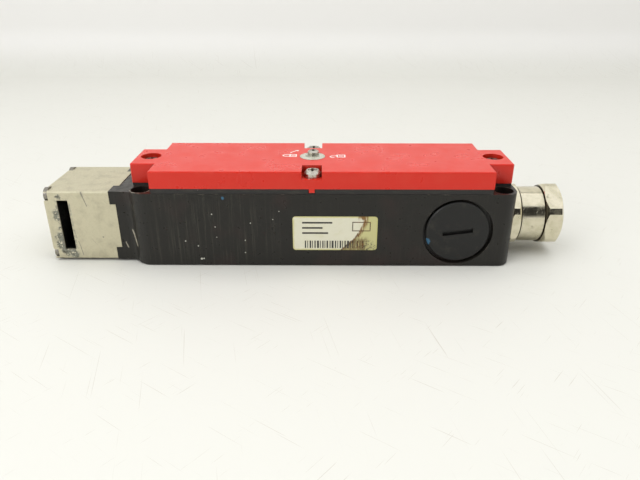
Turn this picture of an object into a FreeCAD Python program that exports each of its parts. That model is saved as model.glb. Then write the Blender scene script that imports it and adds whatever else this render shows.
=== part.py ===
import FreeCAD, Part
import os
import re

import Sketcher

# Safety interlock switch for a guard door, worked by a flat tongue and locked by a solenoid.
# Sizes are in millimetres. The origin is the centre of the four mounting holes on the mounting
# face. +X runs along the body to the cable gland, -Y is the side that carries the rating label,
# +Z points up to the red cover.

DOC = FreeCAD.newDocument("tongue_interlock_switch")
SHEET = DOC.addObject("Spreadsheet::Sheet", "Sizes")

SIZES = (
    # die-cast housing
    ("mount_pitch_length", 141.6),
    ("mount_pitch_width", 30.0),
    ("mount_hole_radius", 2.25),
    ("mount_counterbore_radius", 3.75),
    ("mount_counterbore_depth", 6.0),
    ("corner_radius", 5.0),
    ("neck_corner_radius", 7.2),
    ("housing_height", 30.7),
    ("housing_wall", 3.2),
    ("housing_floor", 3.0),
    ("bottom_bevel", 0.5),
    # neck between the housing and the head
    ("neck_length", 4.8),
    ("neck_half_width", 15.8),
    ("neck_bottom", 0.8),
    ("neck_top_step", 0.6),
    ("neck_blend_radius", 4.0),
    ("lug_length", 2.8),
    ("lug_height", 5.3),
    ("lug_clearance", 0.1),
    ("passage_half_width", 9.0),
    ("passage_bottom", 5.2),
    ("passage_roof", 4.5),
    # cover and its seal
    ("gasket_thickness", 2.1),
    ("gasket_inset", 0.2),
    ("gasket_width", 3.1),
    ("cover_thickness", 6.9),
    ("cover_top_thickness", 2.5),
    ("cover_corner_step", 5.1),
    ("cover_rim", 3.2),
    ("cover_edge_radius", 0.5),
    ("ear_inset", 0.5),
    ("ear_drop", 1.0),
    ("ear_half_width", 10.05),
    ("ear_bevel", 0.4),
    ("side_notch_place", -3.75),
    ("side_notch_width", 7.7),
    ("side_notch_depth", 8.25),
    ("side_notch_floor", 3.1),
    ("notch_block_wall", 1.6),
    ("tab_width", 2.2),
    ("tab_drop", 1.5),
    ("tab_depth", 1.0),
    ("tab_clearance", 0.2),
    # cover screws
    ("ear_screw_step", 3.7),
    ("end_screw_counterbore_radius", 4.1),
    ("end_screw_seat_depth", 3.7),
    ("side_screw_place_x", -3.5),
    ("side_screw_step", 4.5),
    ("cover_screw_radius", 1.75),
    ("cover_screw_head_radius", 3.3),
    ("cover_screw_head_height", 2.5),
    ("cover_screw_length", 9.6),
    ("end_screw_web", 1.4),
    ("passage_screw_web", 0.8),
    ("screw_tip_gap", 0.4),
    ("screw_boss_radius", 3.6),
    ("cross_recess_width", 0.9),
    ("recess_depth_share", 0.5),
    ("recess_reach_share", 0.55),
    ("screw_bevel_share", 0.4),
    ("screw_crown_share", 0.72),
    # release on the cover
    ("release_place", -3.8),
    ("release_disc_radius", 5.1),
    ("release_disc_thickness", 1.7),
    ("release_disc_proud", 0.1),
    ("release_shaft_radius", 1.8),
    ("release_crank_offset", 2.0),
    ("release_crank_radius", 4.3),
    ("release_crank_thickness", 1.6),
    ("release_pin_radius", 1.25),
    ("release_pin_reach", 0.3),
    ("crank_gap", 1.3),
    ("release_boss_radius", 8.0),
    ("release_seal_radius", 3.4),
    ("release_seal_thickness", 1.7),
    ("lock_screw_orbit", 3.7),
    ("lock_screw_angle", 86.0),
    ("lock_screw_radius", 1.1),
    ("lock_screw_head_radius", 2.3),
    ("lock_screw_head_height", 1.45),
    ("release_slot_length", 5.6),
    ("release_slot_width", 0.9),
    ("release_slot_depth", 0.8),
    ("running_clearance", 0.06),
    # head with the tongue slot
    ("head_length", 28.4),
    ("head_gasket_thickness", 0.5),
    ("head_gasket_inset", 0.3),
    ("head_gasket_web", 1.2),
    ("head_edge_radius", 0.8),
    ("head_cavity_bottom", 5.2),
    ("head_roof", 3.8),
    ("slot_wall", 5.2),
    ("slot_width", 4.4),
    ("slot_depth", 28.5),
    ("head_screw_side", 3.0),
    ("head_screw_inset", 2.2),
    ("head_screw_rise", 2.6),
    ("head_screw_radius", 1.6),
    ("head_screw_head_radius", 2.8),
    ("head_screw_head_height", 1.7),
    ("head_screw_recess_radius", 3.4),
    ("head_screw_recess_depth", 2.1),
    ("head_screw_grip", 9.0),
    # cam wheel, its axle and the eccentric that works the contacts
    ("wheel_setback", 11.4),
    ("wheel_radius", 11.0),
    ("wheel_bottom", 10.5),
    ("wheel_cavity_clearance", 0.8),
    ("wheel_end_play", 0.2),
    ("hub_radius", 5.0),
    ("axle_radius", 2.0),
    ("axle_blind_depth", 2.5),
    ("mouth_angle", 210.0),
    ("mouth_width", 5.2),
    ("mouth_root", 7.2),
    ("lock_notch_width", 4.6),
    ("lock_notch_root", 6.9),
    ("lock_notch_step", 60.0),
    ("eccentric_radius", 5.8),
    ("eccentric_offset", 2.6),
    ("eccentric_angle", -60.0),
    ("dowel_radius", 0.7),
    ("dowel_orbit", 4.2),
    ("dowel_spread", 40.0),
    ("dowel_length", 7.0),
    # locking bolt and solenoid
    ("bolt_half_width", 2.0),
    ("bolt_height", 5.0),
    ("bolt_tip_gap", 0.3),
    ("bolt_travel", 4.0),
    ("collar_clearance", 0.4),
    ("spring_seat_width", 1.2),
    ("bolt_collar_thickness", 0.8),
    ("slide_clearance", 0.08),
    ("guide_length", 5.0),
    ("guide_inset", 0.2),
    ("solenoid_wall_gap", 0.3),
    ("rod_free_length", 5.0),
    ("pole_length", 18.0),
    ("solenoid_half_width", 9.0),
    ("frame_sheet", 1.2),
    ("frame_headroom", 1.6),
    ("solenoid_headroom", 1.2),
    ("coil_depth", 3.2),
    ("bobbin_wall", 0.6),
    ("bobbin_seat_gap", 0.1),
    ("bobbin_lip", 0.2),
    ("bobbin_flange_thickness", 1.2),
    ("pole_gap", 0.3),
    ("armature_clearance", 0.08),
    ("rod_radius", 1.25),
    ("rod_grip", 6.0),
    ("solenoid_screw_radius", 1.5),
    ("solenoid_screw_head_radius", 2.4),
    ("solenoid_screw_head_height", 1.2),
    ("solenoid_screw_inset", 1.6),
    ("solenoid_foot", 7.0),
    ("foot_wall_gap", 0.8),
    # yoke on the bolt's tail, round the release pin
    ("yoke_half_width", 6.2),
    ("yoke_thickness", 3.2),
    ("yoke_wall", 3.4),
    ("yoke_play", 0.4),
    ("yoke_socket_end", 0.6),
    # follower, contact slide and contact block
    ("follower_thickness", 3.5),
    ("follower_headroom", 0.8),
    ("follower_left_side", -5.0),
    ("follower_right_side", 1.0),
    ("follower_gap", 0.15),
    ("slide_tail", 8.2),
    ("spring_room", 3.0),
    ("slide_half_width", 5.5),
    ("slide_window_play", 0.6),
    ("block_gap", 1.15),
    ("entry_gap", 0.5),
    ("block_half_width", 11.8),
    ("ledge_inner", 7.0),
    ("ledge_height", 1.8),
    ("block_stop_thickness", 2.0),
    ("pole_pitch", 11.0),
    ("contact_strip_width", 5.0),
    ("contact_strip_thickness", 1.0),
    ("contact_edge", 0.2),
    ("bridge_width", 2.4),
    ("bridge_gap", 0.3),
    ("clamp_length", 4.4),
    ("clamp_thickness", 1.2),
    ("terminal_screw_radius", 1.5),
    ("terminal_screw_head_radius", 2.2),
    ("terminal_screw_head_height", 1.4),
    ("terminal_screw_length", 6.0),
    ("spring_wire_radius", 0.35),
    ("spring_seat_gap", 0.1),
    ("spring_clearance", 0.15),
    ("follower_spring_radius", 1.5),
    # earth terminal
    ("earth_setback", 17.3),
    ("earth_boss_radius", 3.6),
    ("earth_boss_height", 1.8),
    ("earth_screw_radius", 1.75),
    ("earth_screw_head_radius", 3.2),
    ("earth_screw_head_height", 2.2),
    ("earth_screw_length", 3.6),
    # threaded entries, blanking plugs and cable gland
    ("entry_setback", 22.3),
    ("entry_drop", 0.35),
    ("entry_radius", 10.0),
    ("entry_counterbore_radius", 13.75),
    ("entry_counterbore_depth", 2.2),
    ("entry_boss_radius", 13.0),
    ("entry_boss_reach", 8.0),
    ("plug_radius", 12.5),
    ("plug_recess", 0.05),
    ("plug_bevel", 0.4),
    ("plug_seal_thickness", 0.7),
    ("plug_seal_radius", 11.6),
    ("plug_slot_length", 12.0),
    ("plug_slot_width", 1.9),
    ("plug_slot_depth", 1.5),
    ("plug_slot_angle", 7.5),
    ("gland_spigot_length", 9.3),
    ("gland_washer_thickness", 0.7),
    ("gland_washer_radius", 11.6),
    ("gland_across_flats", 24.0),
    ("gland_face_step", 0.1),
    ("gland_corner_radius", 13.2),
    ("gland_turn", 5.0),
    ("gland_base_length", 4.2),
    ("gland_neck_gap", 0.5),
    ("gland_neck_radius", 10.6),
    ("gland_barrel_radius", 11.4),
    ("gland_barrel_length", 9.1),
    ("gland_thread_radius", 9.4),
    ("gland_thread_length", 5.6),
    ("gland_nut_gap", 0.3),
    ("gland_nut_length", 6.9),
    ("gland_nut_opening", 7.2),
    ("gland_nut_bevel", 1.0),
    ("gland_bore_radius", 6.5),
    ("gland_seal_radius", 8.2),
    ("gland_seal_length", 9.5),
    # how far a cutting sketch runs past the face it cuts
    ("cut_margin", 1.0),
)

for row, (alias, size) in enumerate(SIZES, start=1):
    SHEET.set(f"A{row}", alias)
    SHEET.set(f"B{row}", str(size))
    SHEET.setAlias(f"B{row}", alias)
DOC.recompute()

# Places worked out from the sizes

HALF_LENGTH = "(mount_pitch_length / 2 + corner_radius)"
HALF_WIDTH = "(mount_pitch_width / 2 + corner_radius)"
INSIDE_LENGTH = "(cover_half_length - gasket_width)"
INSIDE_WIDTH = f"({HALF_WIDTH} - housing_wall)"
NECK_FACE = f"(-{HALF_LENGTH} - neck_length)"
LUG_FACE = f"({NECK_FACE} - lug_length)"
COVER_BASE = "(housing_height + gasket_thickness)"
COVER_TOP = f"({COVER_BASE} + cover_thickness)"
EAR_END = f"({HALF_LENGTH} - ear_inset)"
EAR_BASE = f"({COVER_BASE} - ear_drop)"
SCREW_SEAT = f"({COVER_TOP} - end_screw_seat_depth)"
NOTCH_FLOOR = f"({COVER_TOP} - side_notch_floor)"
NOTCH_INNER = f"({HALF_WIDTH} - side_notch_depth)"
HEAD_RIGHT = f"({NECK_FACE} - head_gasket_thickness)"
HEAD_LEFT = f"({HEAD_RIGHT} - head_length)"
RECESS_FLOOR = f"({HEAD_LEFT} + head_screw_recess_depth)"
DISC_TOP = f"({COVER_TOP} + release_disc_proud)"
DISC_SEAT = f"({DISC_TOP} - release_disc_thickness)"
LOCK_SCREW_X = "(release_place + lock_screw_orbit * cos(lock_screw_angle))"
LOCK_SCREW_Y = "(lock_screw_orbit * sin(lock_screw_angle))"
BOLT_AXIS = "(housing_floor + frame_sheet + bobbin_seat_gap + bobbin_flange_radius)"
BOLT_BOTTOM = f"({BOLT_AXIS} - bolt_height / 2)"
BOLT_TOP = f"({BOLT_AXIS} + bolt_height / 2)"
BOLT_TIP = "(wheel_place + wheel_radius + bolt_tip_gap)"
ARMATURE_LEFT = "(bolt_collar_place + bolt_collar_thickness)"
GUIDE_LEFT = f"({NECK_FACE} + guide_inset)"
GUIDE_RIGHT = f"({GUIDE_LEFT} + guide_length)"
SOLENOID_RIGHT = "(solenoid_left + solenoid_length)"
POLE_LEFT = "(armature_end + pole_gap)"
CRANK_BOTTOM = f"({BOLT_AXIS} + yoke_thickness / 2 + crank_gap)"
CRANK_TOP = f"({CRANK_BOTTOM} + release_crank_thickness)"
PIN_SWEEP = "(release_crank_offset + release_pin_radius + yoke_play)"
WINDOW_LEFT = f"(release_place - {PIN_SWEEP})"
WINDOW_RIGHT = f"(release_place + {PIN_SWEEP} + bolt_travel)"
YOKE_LEFT = f"({WINDOW_LEFT} - yoke_wall)"
YOKE_RIGHT = f"({WINDOW_RIGHT} + yoke_wall)"
ECCENTRIC_X = "(wheel_place + eccentric_offset * cos(eccentric_angle))"
ECCENTRIC_Y = "(eccentric_offset * sin(eccentric_angle))"
FOLLOWER_FACE = f"({ECCENTRIC_X} + eccentric_radius + follower_gap)"
BLOCK_RIGHT = "(block_left + block_length)"
STOP_FACE = f"({BLOCK_RIGHT} - block_stop_thickness)"
LEDGE_TOP = "(block_top + ledge_height)"
STRIP_TOP = f"({LEDGE_TOP} + contact_strip_thickness)"
CLAMP_TOP = f"({STRIP_TOP} + clamp_thickness)"
TERMINAL_Y = "((ledge_inner + block_half_width) / 2)"
EARTH_SEAT = "(housing_floor + earth_boss_height)"
ENTRY_FLOOR = f"({HALF_WIDTH} - entry_counterbore_depth)"
ENTRY_INNER = f"({HALF_WIDTH} - entry_boss_reach)"
PLUG_FACE = f"({HALF_WIDTH} - plug_recess)"
PLUG_SEAT = f"({ENTRY_FLOOR} + plug_seal_thickness)"
GLAND_BASE = f"({HALF_LENGTH} + gland_washer_thickness)"
GLAND_NECK = f"({GLAND_BASE} + gland_base_length)"
GLAND_BARREL = f"({GLAND_NECK} + gland_neck_gap)"
GLAND_SHOULDER = f"({GLAND_BARREL} + gland_barrel_length)"
GLAND_TIP = f"({GLAND_SHOULDER} + gland_thread_length)"
NUT_LEFT = f"({GLAND_SHOULDER} + gland_nut_gap)"

# Sizes that follow from others: the height stacks down from the housing's rim, the length inwards
# from the mounting holes

LINKED = {
    "neck_top": "housing_height - neck_top_step",
    "passage_top": "neck_top - passage_roof",
    "head_cavity_top": "neck_top - head_roof",
    "lug_width": "neck_half_width - passage_half_width",
    "head_screw_place_y": "neck_half_width - head_screw_side",
    "head_screw_top": "neck_top - head_screw_inset",
    "head_screw_bottom": "neck_bottom + head_screw_rise",
    "follower_top": "passage_top - follower_headroom",
    "follower_bottom": "follower_top - follower_thickness",
    "wheel_top": "follower_bottom - follower_headroom",
    "block_top": "follower_bottom - ledge_height - contact_strip_thickness",
    "coil_top": "follower_bottom - solenoid_headroom",
    "bobbin_flange_radius": "(coil_top - housing_floor - frame_sheet - bobbin_seat_gap) / 2",
    "bobbin_bore_radius": "bobbin_flange_radius - coil_depth",
    "winding_radius": "bobbin_flange_radius - bobbin_lip",
    "frame_height": "2 * bobbin_flange_radius + frame_headroom",
    "bolt_collar_radius": "bobbin_bore_radius + spring_seat_width",
    "entry_height": "housing_height / 2 - entry_drop",
    "cover_half_length": "mount_pitch_length / 2 - cover_corner_step",
    "end_screw_place": "cover_half_length + ear_screw_step",
    "side_screw_place_y": f"{HALF_WIDTH} - side_screw_step",
    "end_screw_bottom": "max(entry_height + entry_radius + end_screw_web; passage_top + passage_screw_web)",
    "end_screw_length": f"{SCREW_SEAT} - end_screw_bottom",
    "wheel_place": f"{HEAD_RIGHT} - wheel_setback",
    "slot_left": f"{HEAD_LEFT} + slot_wall",
    "bolt_collar_place": f"{GUIDE_RIGHT} + bolt_travel + collar_clearance",
    "solenoid_left": f"solenoid_wall_gap - {INSIDE_LENGTH}",
    "solenoid_length": f"{YOKE_LEFT} - bolt_travel - rod_free_length - solenoid_left",
    "armature_end": f"{SOLENOID_RIGHT} - pole_length - pole_gap",
    "slide_left": "release_place - slide_tail",
    "slide_right": f"{STOP_FACE} - spring_room",
    "block_left": f"{YOKE_RIGHT} + block_gap",
    "block_length": "entry_place - entry_boss_radius - entry_gap - block_left",
    "entry_place": f"{HALF_LENGTH} - entry_setback",
    "earth_place": f"{HALF_LENGTH} - earth_setback",
}

FUNCTIONS = ("sin", "cos", "sqrt", "max")
WORD = re.compile(r"[a-z][a-z_0-9]*")
ALONG = {
    "x": FreeCAD.Rotation(FreeCAD.Vector(0, 1, 0), 90),
    "y": FreeCAD.Rotation(FreeCAD.Vector(1, 0, 0), -90),
    "z": FreeCAD.Rotation(),
}
SAME_PLACE = 0.01

nodes = []


def bound(text):
    """The expression with linked sizes spelt out and every other size's name pointed at the sheet."""

    def spell(hit):
        word = hit.group()
        if word in LINKED:
            return f"({bound(LINKED[word])})"
        return word if word in FUNCTIONS else f"Sizes.{word}"

    return WORD.sub(spell, text)


def span(sign, near, far):
    """Two places on the near or the far side of the centreline, the lower one first."""
    ends = (f"{sign} * {near}", f"{sign} * {far}")
    return ends if sign == "1" else ends[::-1]


def number(text):
    return float(SHEET.evalExpression(bound(text)))


def node(piece, label):
    piece.Label = label
    nodes.append(piece)
    return piece


# Primitives and booleans bound to the sheet


def place(piece, point):
    for axis, text in zip("xyz", point):
        piece.setExpression(f"Placement.Base.{axis}", bound(text))


def box(name, low, high):
    """Block between two corners."""
    block = DOC.addObject("Part::Box", name)
    for side, start, end in zip(("Length", "Width", "Height"), low, high):
        block.setExpression(side, bound(f"({end}) - ({start})"))
    place(block, low)
    return block


def rod(name, axis, start, length, radius):
    """Cylinder from a point in the positive direction of an axis."""
    cylinder = DOC.addObject("Part::Cylinder", name)
    cylinder.Placement = FreeCAD.Placement(FreeCAD.Vector(), ALONG[axis])
    cylinder.setExpression("Radius", bound(radius))
    cylinder.setExpression("Height", bound(length))
    place(cylinder, start)
    return cylinder


def cone(name, axis, start, length, radius_start, radius_end):
    taper = DOC.addObject("Part::Cone", name)
    taper.Placement = FreeCAD.Placement(FreeCAD.Vector(), ALONG[axis])
    taper.setExpression("Radius1", bound(radius_start))
    taper.setExpression("Radius2", bound(radius_end))
    taper.setExpression("Height", bound(length))
    place(taper, start)
    return taper


def join(name, pieces):
    whole = DOC.addObject("Part::MultiFuse", name)
    whole.Shapes = list(pieces)
    whole.Refine = True
    return whole


def cut(name, base, tools):
    """The base less one tool, or less all of them."""
    result = DOC.addObject("Part::Cut", name)
    result.Base = base
    result.Tool = tools[0] if len(tools) == 1 else join(f"{name}_tools", tools)
    return result


def common(name, first, second):
    result = DOC.addObject("Part::Common", name)
    result.Base = first
    result.Tool = second
    return result


def group(name, pieces):
    whole = DOC.addObject("Part::Compound", name)
    whole.Links = list(pieces)
    return whole


def ring(name, axis, start, length, outer, inner):
    return cut(
        name,
        rod(f"{name}_outer", axis, start, length, outer),
        [rod(f"{name}_inner", axis, start, length, inner)],
    )


def radial_slot(name, angle, root, width, low, high):
    """Round-bottomed slot tool that reaches from a root radius to beyond the wheel's rim."""
    centre = f"({root} + {width} / 2)"
    slot = DOC.addObject("Part::Box", f"{name}_sides")
    slot.Placement = FreeCAD.Placement(FreeCAD.Vector(), FreeCAD.Rotation(FreeCAD.Vector(0, 0, 1), 1))
    slot.setExpression("Length", bound("wheel_radius"))
    slot.setExpression("Width", bound(width))
    slot.setExpression("Height", bound(f"{high} - {low}"))
    slot.setExpression("Placement.Rotation.Angle", bound(angle))
    place(
        slot,
        (
            f"wheel_place + {centre} * cos({angle}) + {width} / 2 * sin({angle})",
            f"{centre} * sin({angle}) - {width} / 2 * cos({angle})",
            low,
        ),
    )
    bottom = rod(
        f"{name}_root",
        "z",
        (f"wheel_place + {centre} * cos({angle})", f"{centre} * sin({angle})", low),
        f"{high} - {low}",
        f"{width} / 2",
    )
    return join(name, [slot, bottom])


def screw_down(name, place_x, place_y, seat, length, shank, head_radius, head_height, arm_count=2):
    """Screw driven downwards: round shank, bevelled head and cross recess."""
    bevel = f"({head_height} * screw_bevel_share)"
    rim = rod(f"{name}_rim", "z", (place_x, place_y, seat), f"{head_height} - {bevel}", head_radius)
    crown = cone(
        f"{name}_crown",
        "z",
        (place_x, place_y, f"{seat} + {head_height} - {bevel}"),
        bevel,
        head_radius,
        f"{head_radius} * screw_crown_share",
    )
    stem = rod(f"{name}_stem", "z", (place_x, place_y, f"{seat} - {length}"), length, shank)
    top = f"{seat} + {head_height}"
    reach = f"{head_radius} * recess_reach_share"
    arms = [
        box(
            f"{name}_recess_{axis}",
            (
                f"{place_x} - {half_x}",
                f"{place_y} - {half_y}",
                f"{top} - {head_height} * recess_depth_share",
            ),
            (f"{place_x} + {half_x}", f"{place_y} + {half_y}", top),
        )
        for axis, half_x, half_y in (
            ("x", reach, "cross_recess_width / 2"),
            ("y", "cross_recess_width / 2", reach),
        )[:arm_count]
    ]
    return cut(name, join(f"{name}_solid", [stem, rim, crown]), arms)


def screw_inwards(name, place_y, place_z):
    """Head screw driven towards +X: cheese head with a cross recess, in a corner recess of the head."""
    top = f"({RECESS_FLOOR} - head_screw_head_height)"
    head = rod(
        f"{name}_head",
        "x",
        (top, place_y, place_z),
        "head_screw_head_height",
        "head_screw_head_radius",
    )
    stem = rod(
        f"{name}_stem",
        "x",
        (RECESS_FLOOR, place_y, place_z),
        f"{LUG_FACE} + head_screw_grip - {RECESS_FLOOR}",
        "head_screw_radius",
    )
    reach = "head_screw_head_radius * recess_reach_share"
    arms = [
        box(
            f"{name}_recess_{axis}",
            (top, f"{place_y} - {half_y}", f"{place_z} - {half_z}"),
            (
                f"{top} + head_screw_head_height * recess_depth_share",
                f"{place_y} + {half_y}",
                f"{place_z} + {half_z}",
            ),
        )
        for axis, half_y, half_z in (
            ("y", reach, "cross_recess_width / 2"),
            ("z", "cross_recess_width / 2", reach),
        )
    ]
    return cut(name, join(f"{name}_solid", [stem, head]), arms)


def spring_along_x(label, start, length, axis_y, axis_z, inner_radius):
    """Closely wound spring as one sleeve of its inner and outer size."""
    outer = f"({inner_radius} + 2 * spring_wire_radius)"
    return ring(label, "x", (start, axis_y, axis_z), length, outer, inner_radius)


# Sketches and features


def new_body(label):
    return node(DOC.addObject("PartDesign::Body", label), label)


def sketch_on(body, name, plane, offset="0"):
    """Sketch parallel to an origin plane: XY at a height, XZ at a place in Y, YZ at a place in X."""
    sketch = body.newObject("Sketcher::SketchObject", name)
    support = [feature for feature in body.Origin.OriginFeatures if feature.Role == plane][0]
    sketch.AttachmentSupport = [(support, "")]
    sketch.MapMode = "FlatFace"
    sign = "-" if plane == "XZ_Plane" else ""
    sketch.setExpression("AttachmentOffset.Base.z", bound(f"{sign}({offset})"))
    return sketch


def pin_point(sketch, geometry, corner, point):
    """Hold one point of the geometry at two distances from the sketch's origin."""
    for kind, text in zip(("DistanceX", "DistanceY"), point):
        index = sketch.addConstraint(Sketcher.Constraint(kind, -1, 1, geometry, corner, number(text)))
        sketch.setExpression(f"Constraints[{index}]", bound(text))


def draw_polygon(sketch, points):
    first = sketch.GeometryCount
    count = len(points)
    corners = [FreeCAD.Vector(number(across), number(up), 0) for across, up in points]
    for index in range(count):
        sketch.addGeometry(Part.LineSegment(corners[index], corners[(index + 1) % count]))
    for index in range(count):
        following = first + (index + 1) % count
        sketch.addConstraint(Sketcher.Constraint("Coincident", first + index, 2, following, 1))
    for index, point in enumerate(points):
        pin_point(sketch, first + index, 1, point)


def draw_rectangle(sketch, low, high):
    draw_polygon(sketch, [low, (high[0], low[1]), high, (low[0], high[1])])


def draw_circle(sketch, centre, radius):
    middle = FreeCAD.Vector(number(centre[0]), number(centre[1]), 0)
    circle = sketch.addGeometry(Part.Circle(middle, FreeCAD.Vector(0, 0, 1), number(radius)))
    pin_point(sketch, circle, 3, centre)
    index = sketch.addConstraint(Sketcher.Constraint("Radius", circle, number(radius)))
    sketch.setExpression(f"Constraints[{index}]", bound(radius))


def feature(body, kind, sketch, length, backwards):
    step = body.newObject(f"PartDesign::{kind}", f"{sketch.Name}_{kind.lower()}")
    step.Profile = sketch
    step.Reversed = backwards
    step.setExpression("Length", bound(length))
    DOC.recompute()
    return step


def pad(body, sketch, length, backwards=False):
    """Material along the sketch's normal: up, towards -Y or towards +X."""
    return feature(body, "Pad", sketch, length, backwards)


def pocket(body, sketch, depth, backwards=False):
    """Cut against the sketch's normal: down, towards +Y or towards -X."""
    before = body.Shape.Volume
    step = feature(body, "Pocket", sketch, depth, backwards)
    if body.Shape.Volume >= before:
        raise ValueError(f"{sketch.Name} removes nothing")
    return step


def edges_where(shape, wanted):
    return [f"Edge{index}" for index, edge in enumerate(shape.Edges, start=1) if wanted(edge)]


def soften(body, name, kind, size, wanted):
    """Fillet or chamfer on the edges of the body's last feature that pass the test."""
    last = body.Tip
    step = body.newObject(f"PartDesign::{kind}", name)
    step.Base = (last, edges_where(last.Shape, wanted))
    step.setExpression("Radius" if kind == "Fillet" else "Size", bound(size))
    DOC.recompute()
    return step


def is_upright(edge):
    if len(edge.Vertexes) != 2:
        return False
    start, end = edge.Vertexes
    return abs(start.X - end.X) < SAME_PLACE and abs(start.Y - end.Y) < SAME_PLACE


def is_level_at(edge, height):
    return edge.BoundBox.ZLength < SAME_PLACE and abs(edge.BoundBox.ZMin - height) < SAME_PLACE


MIRROR = (("near", "-1"), ("far", "1"))
MOUNTS = [
    (f"{side_x} * mount_pitch_length / 2", f"{side_y} * mount_pitch_width / 2")
    for side_x in ("-1", "1")
    for side_y in ("-1", "1")
]
END_SCREWS = [("-end_screw_place", "0"), ("end_screw_place", "0")]
SIDE_SCREWS = [("side_screw_place_x", "-side_screw_place_y"), ("side_screw_place_x", "side_screw_place_y")]
COVER_SCREWS = (
    ("end", SCREW_SEAT, "end_screw_length", END_SCREWS),
    ("side", NOTCH_FLOOR, "cover_screw_length", SIDE_SCREWS),
)


# Housing


OUTER_LOW = ("-neck_half_width", "neck_bottom")
OUTER_HIGH = ("neck_half_width", "neck_top")


def lug_corners(clearance):
    """The four lug rectangles on the joint face, as low and high corners in Y and Z."""
    inner = f"(neck_half_width - lug_width - {clearance})"
    heights = (
        ("neck_bottom", f"neck_bottom + lug_height + {clearance}"),
        (f"neck_top - lug_height - {clearance}", "neck_top"),
    )
    corners = []
    for low, high in heights:
        corners.append((("-neck_half_width", low), (f"-{inner}", high)))
        corners.append(((inner, low), ("neck_half_width", high)))
    return corners


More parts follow.
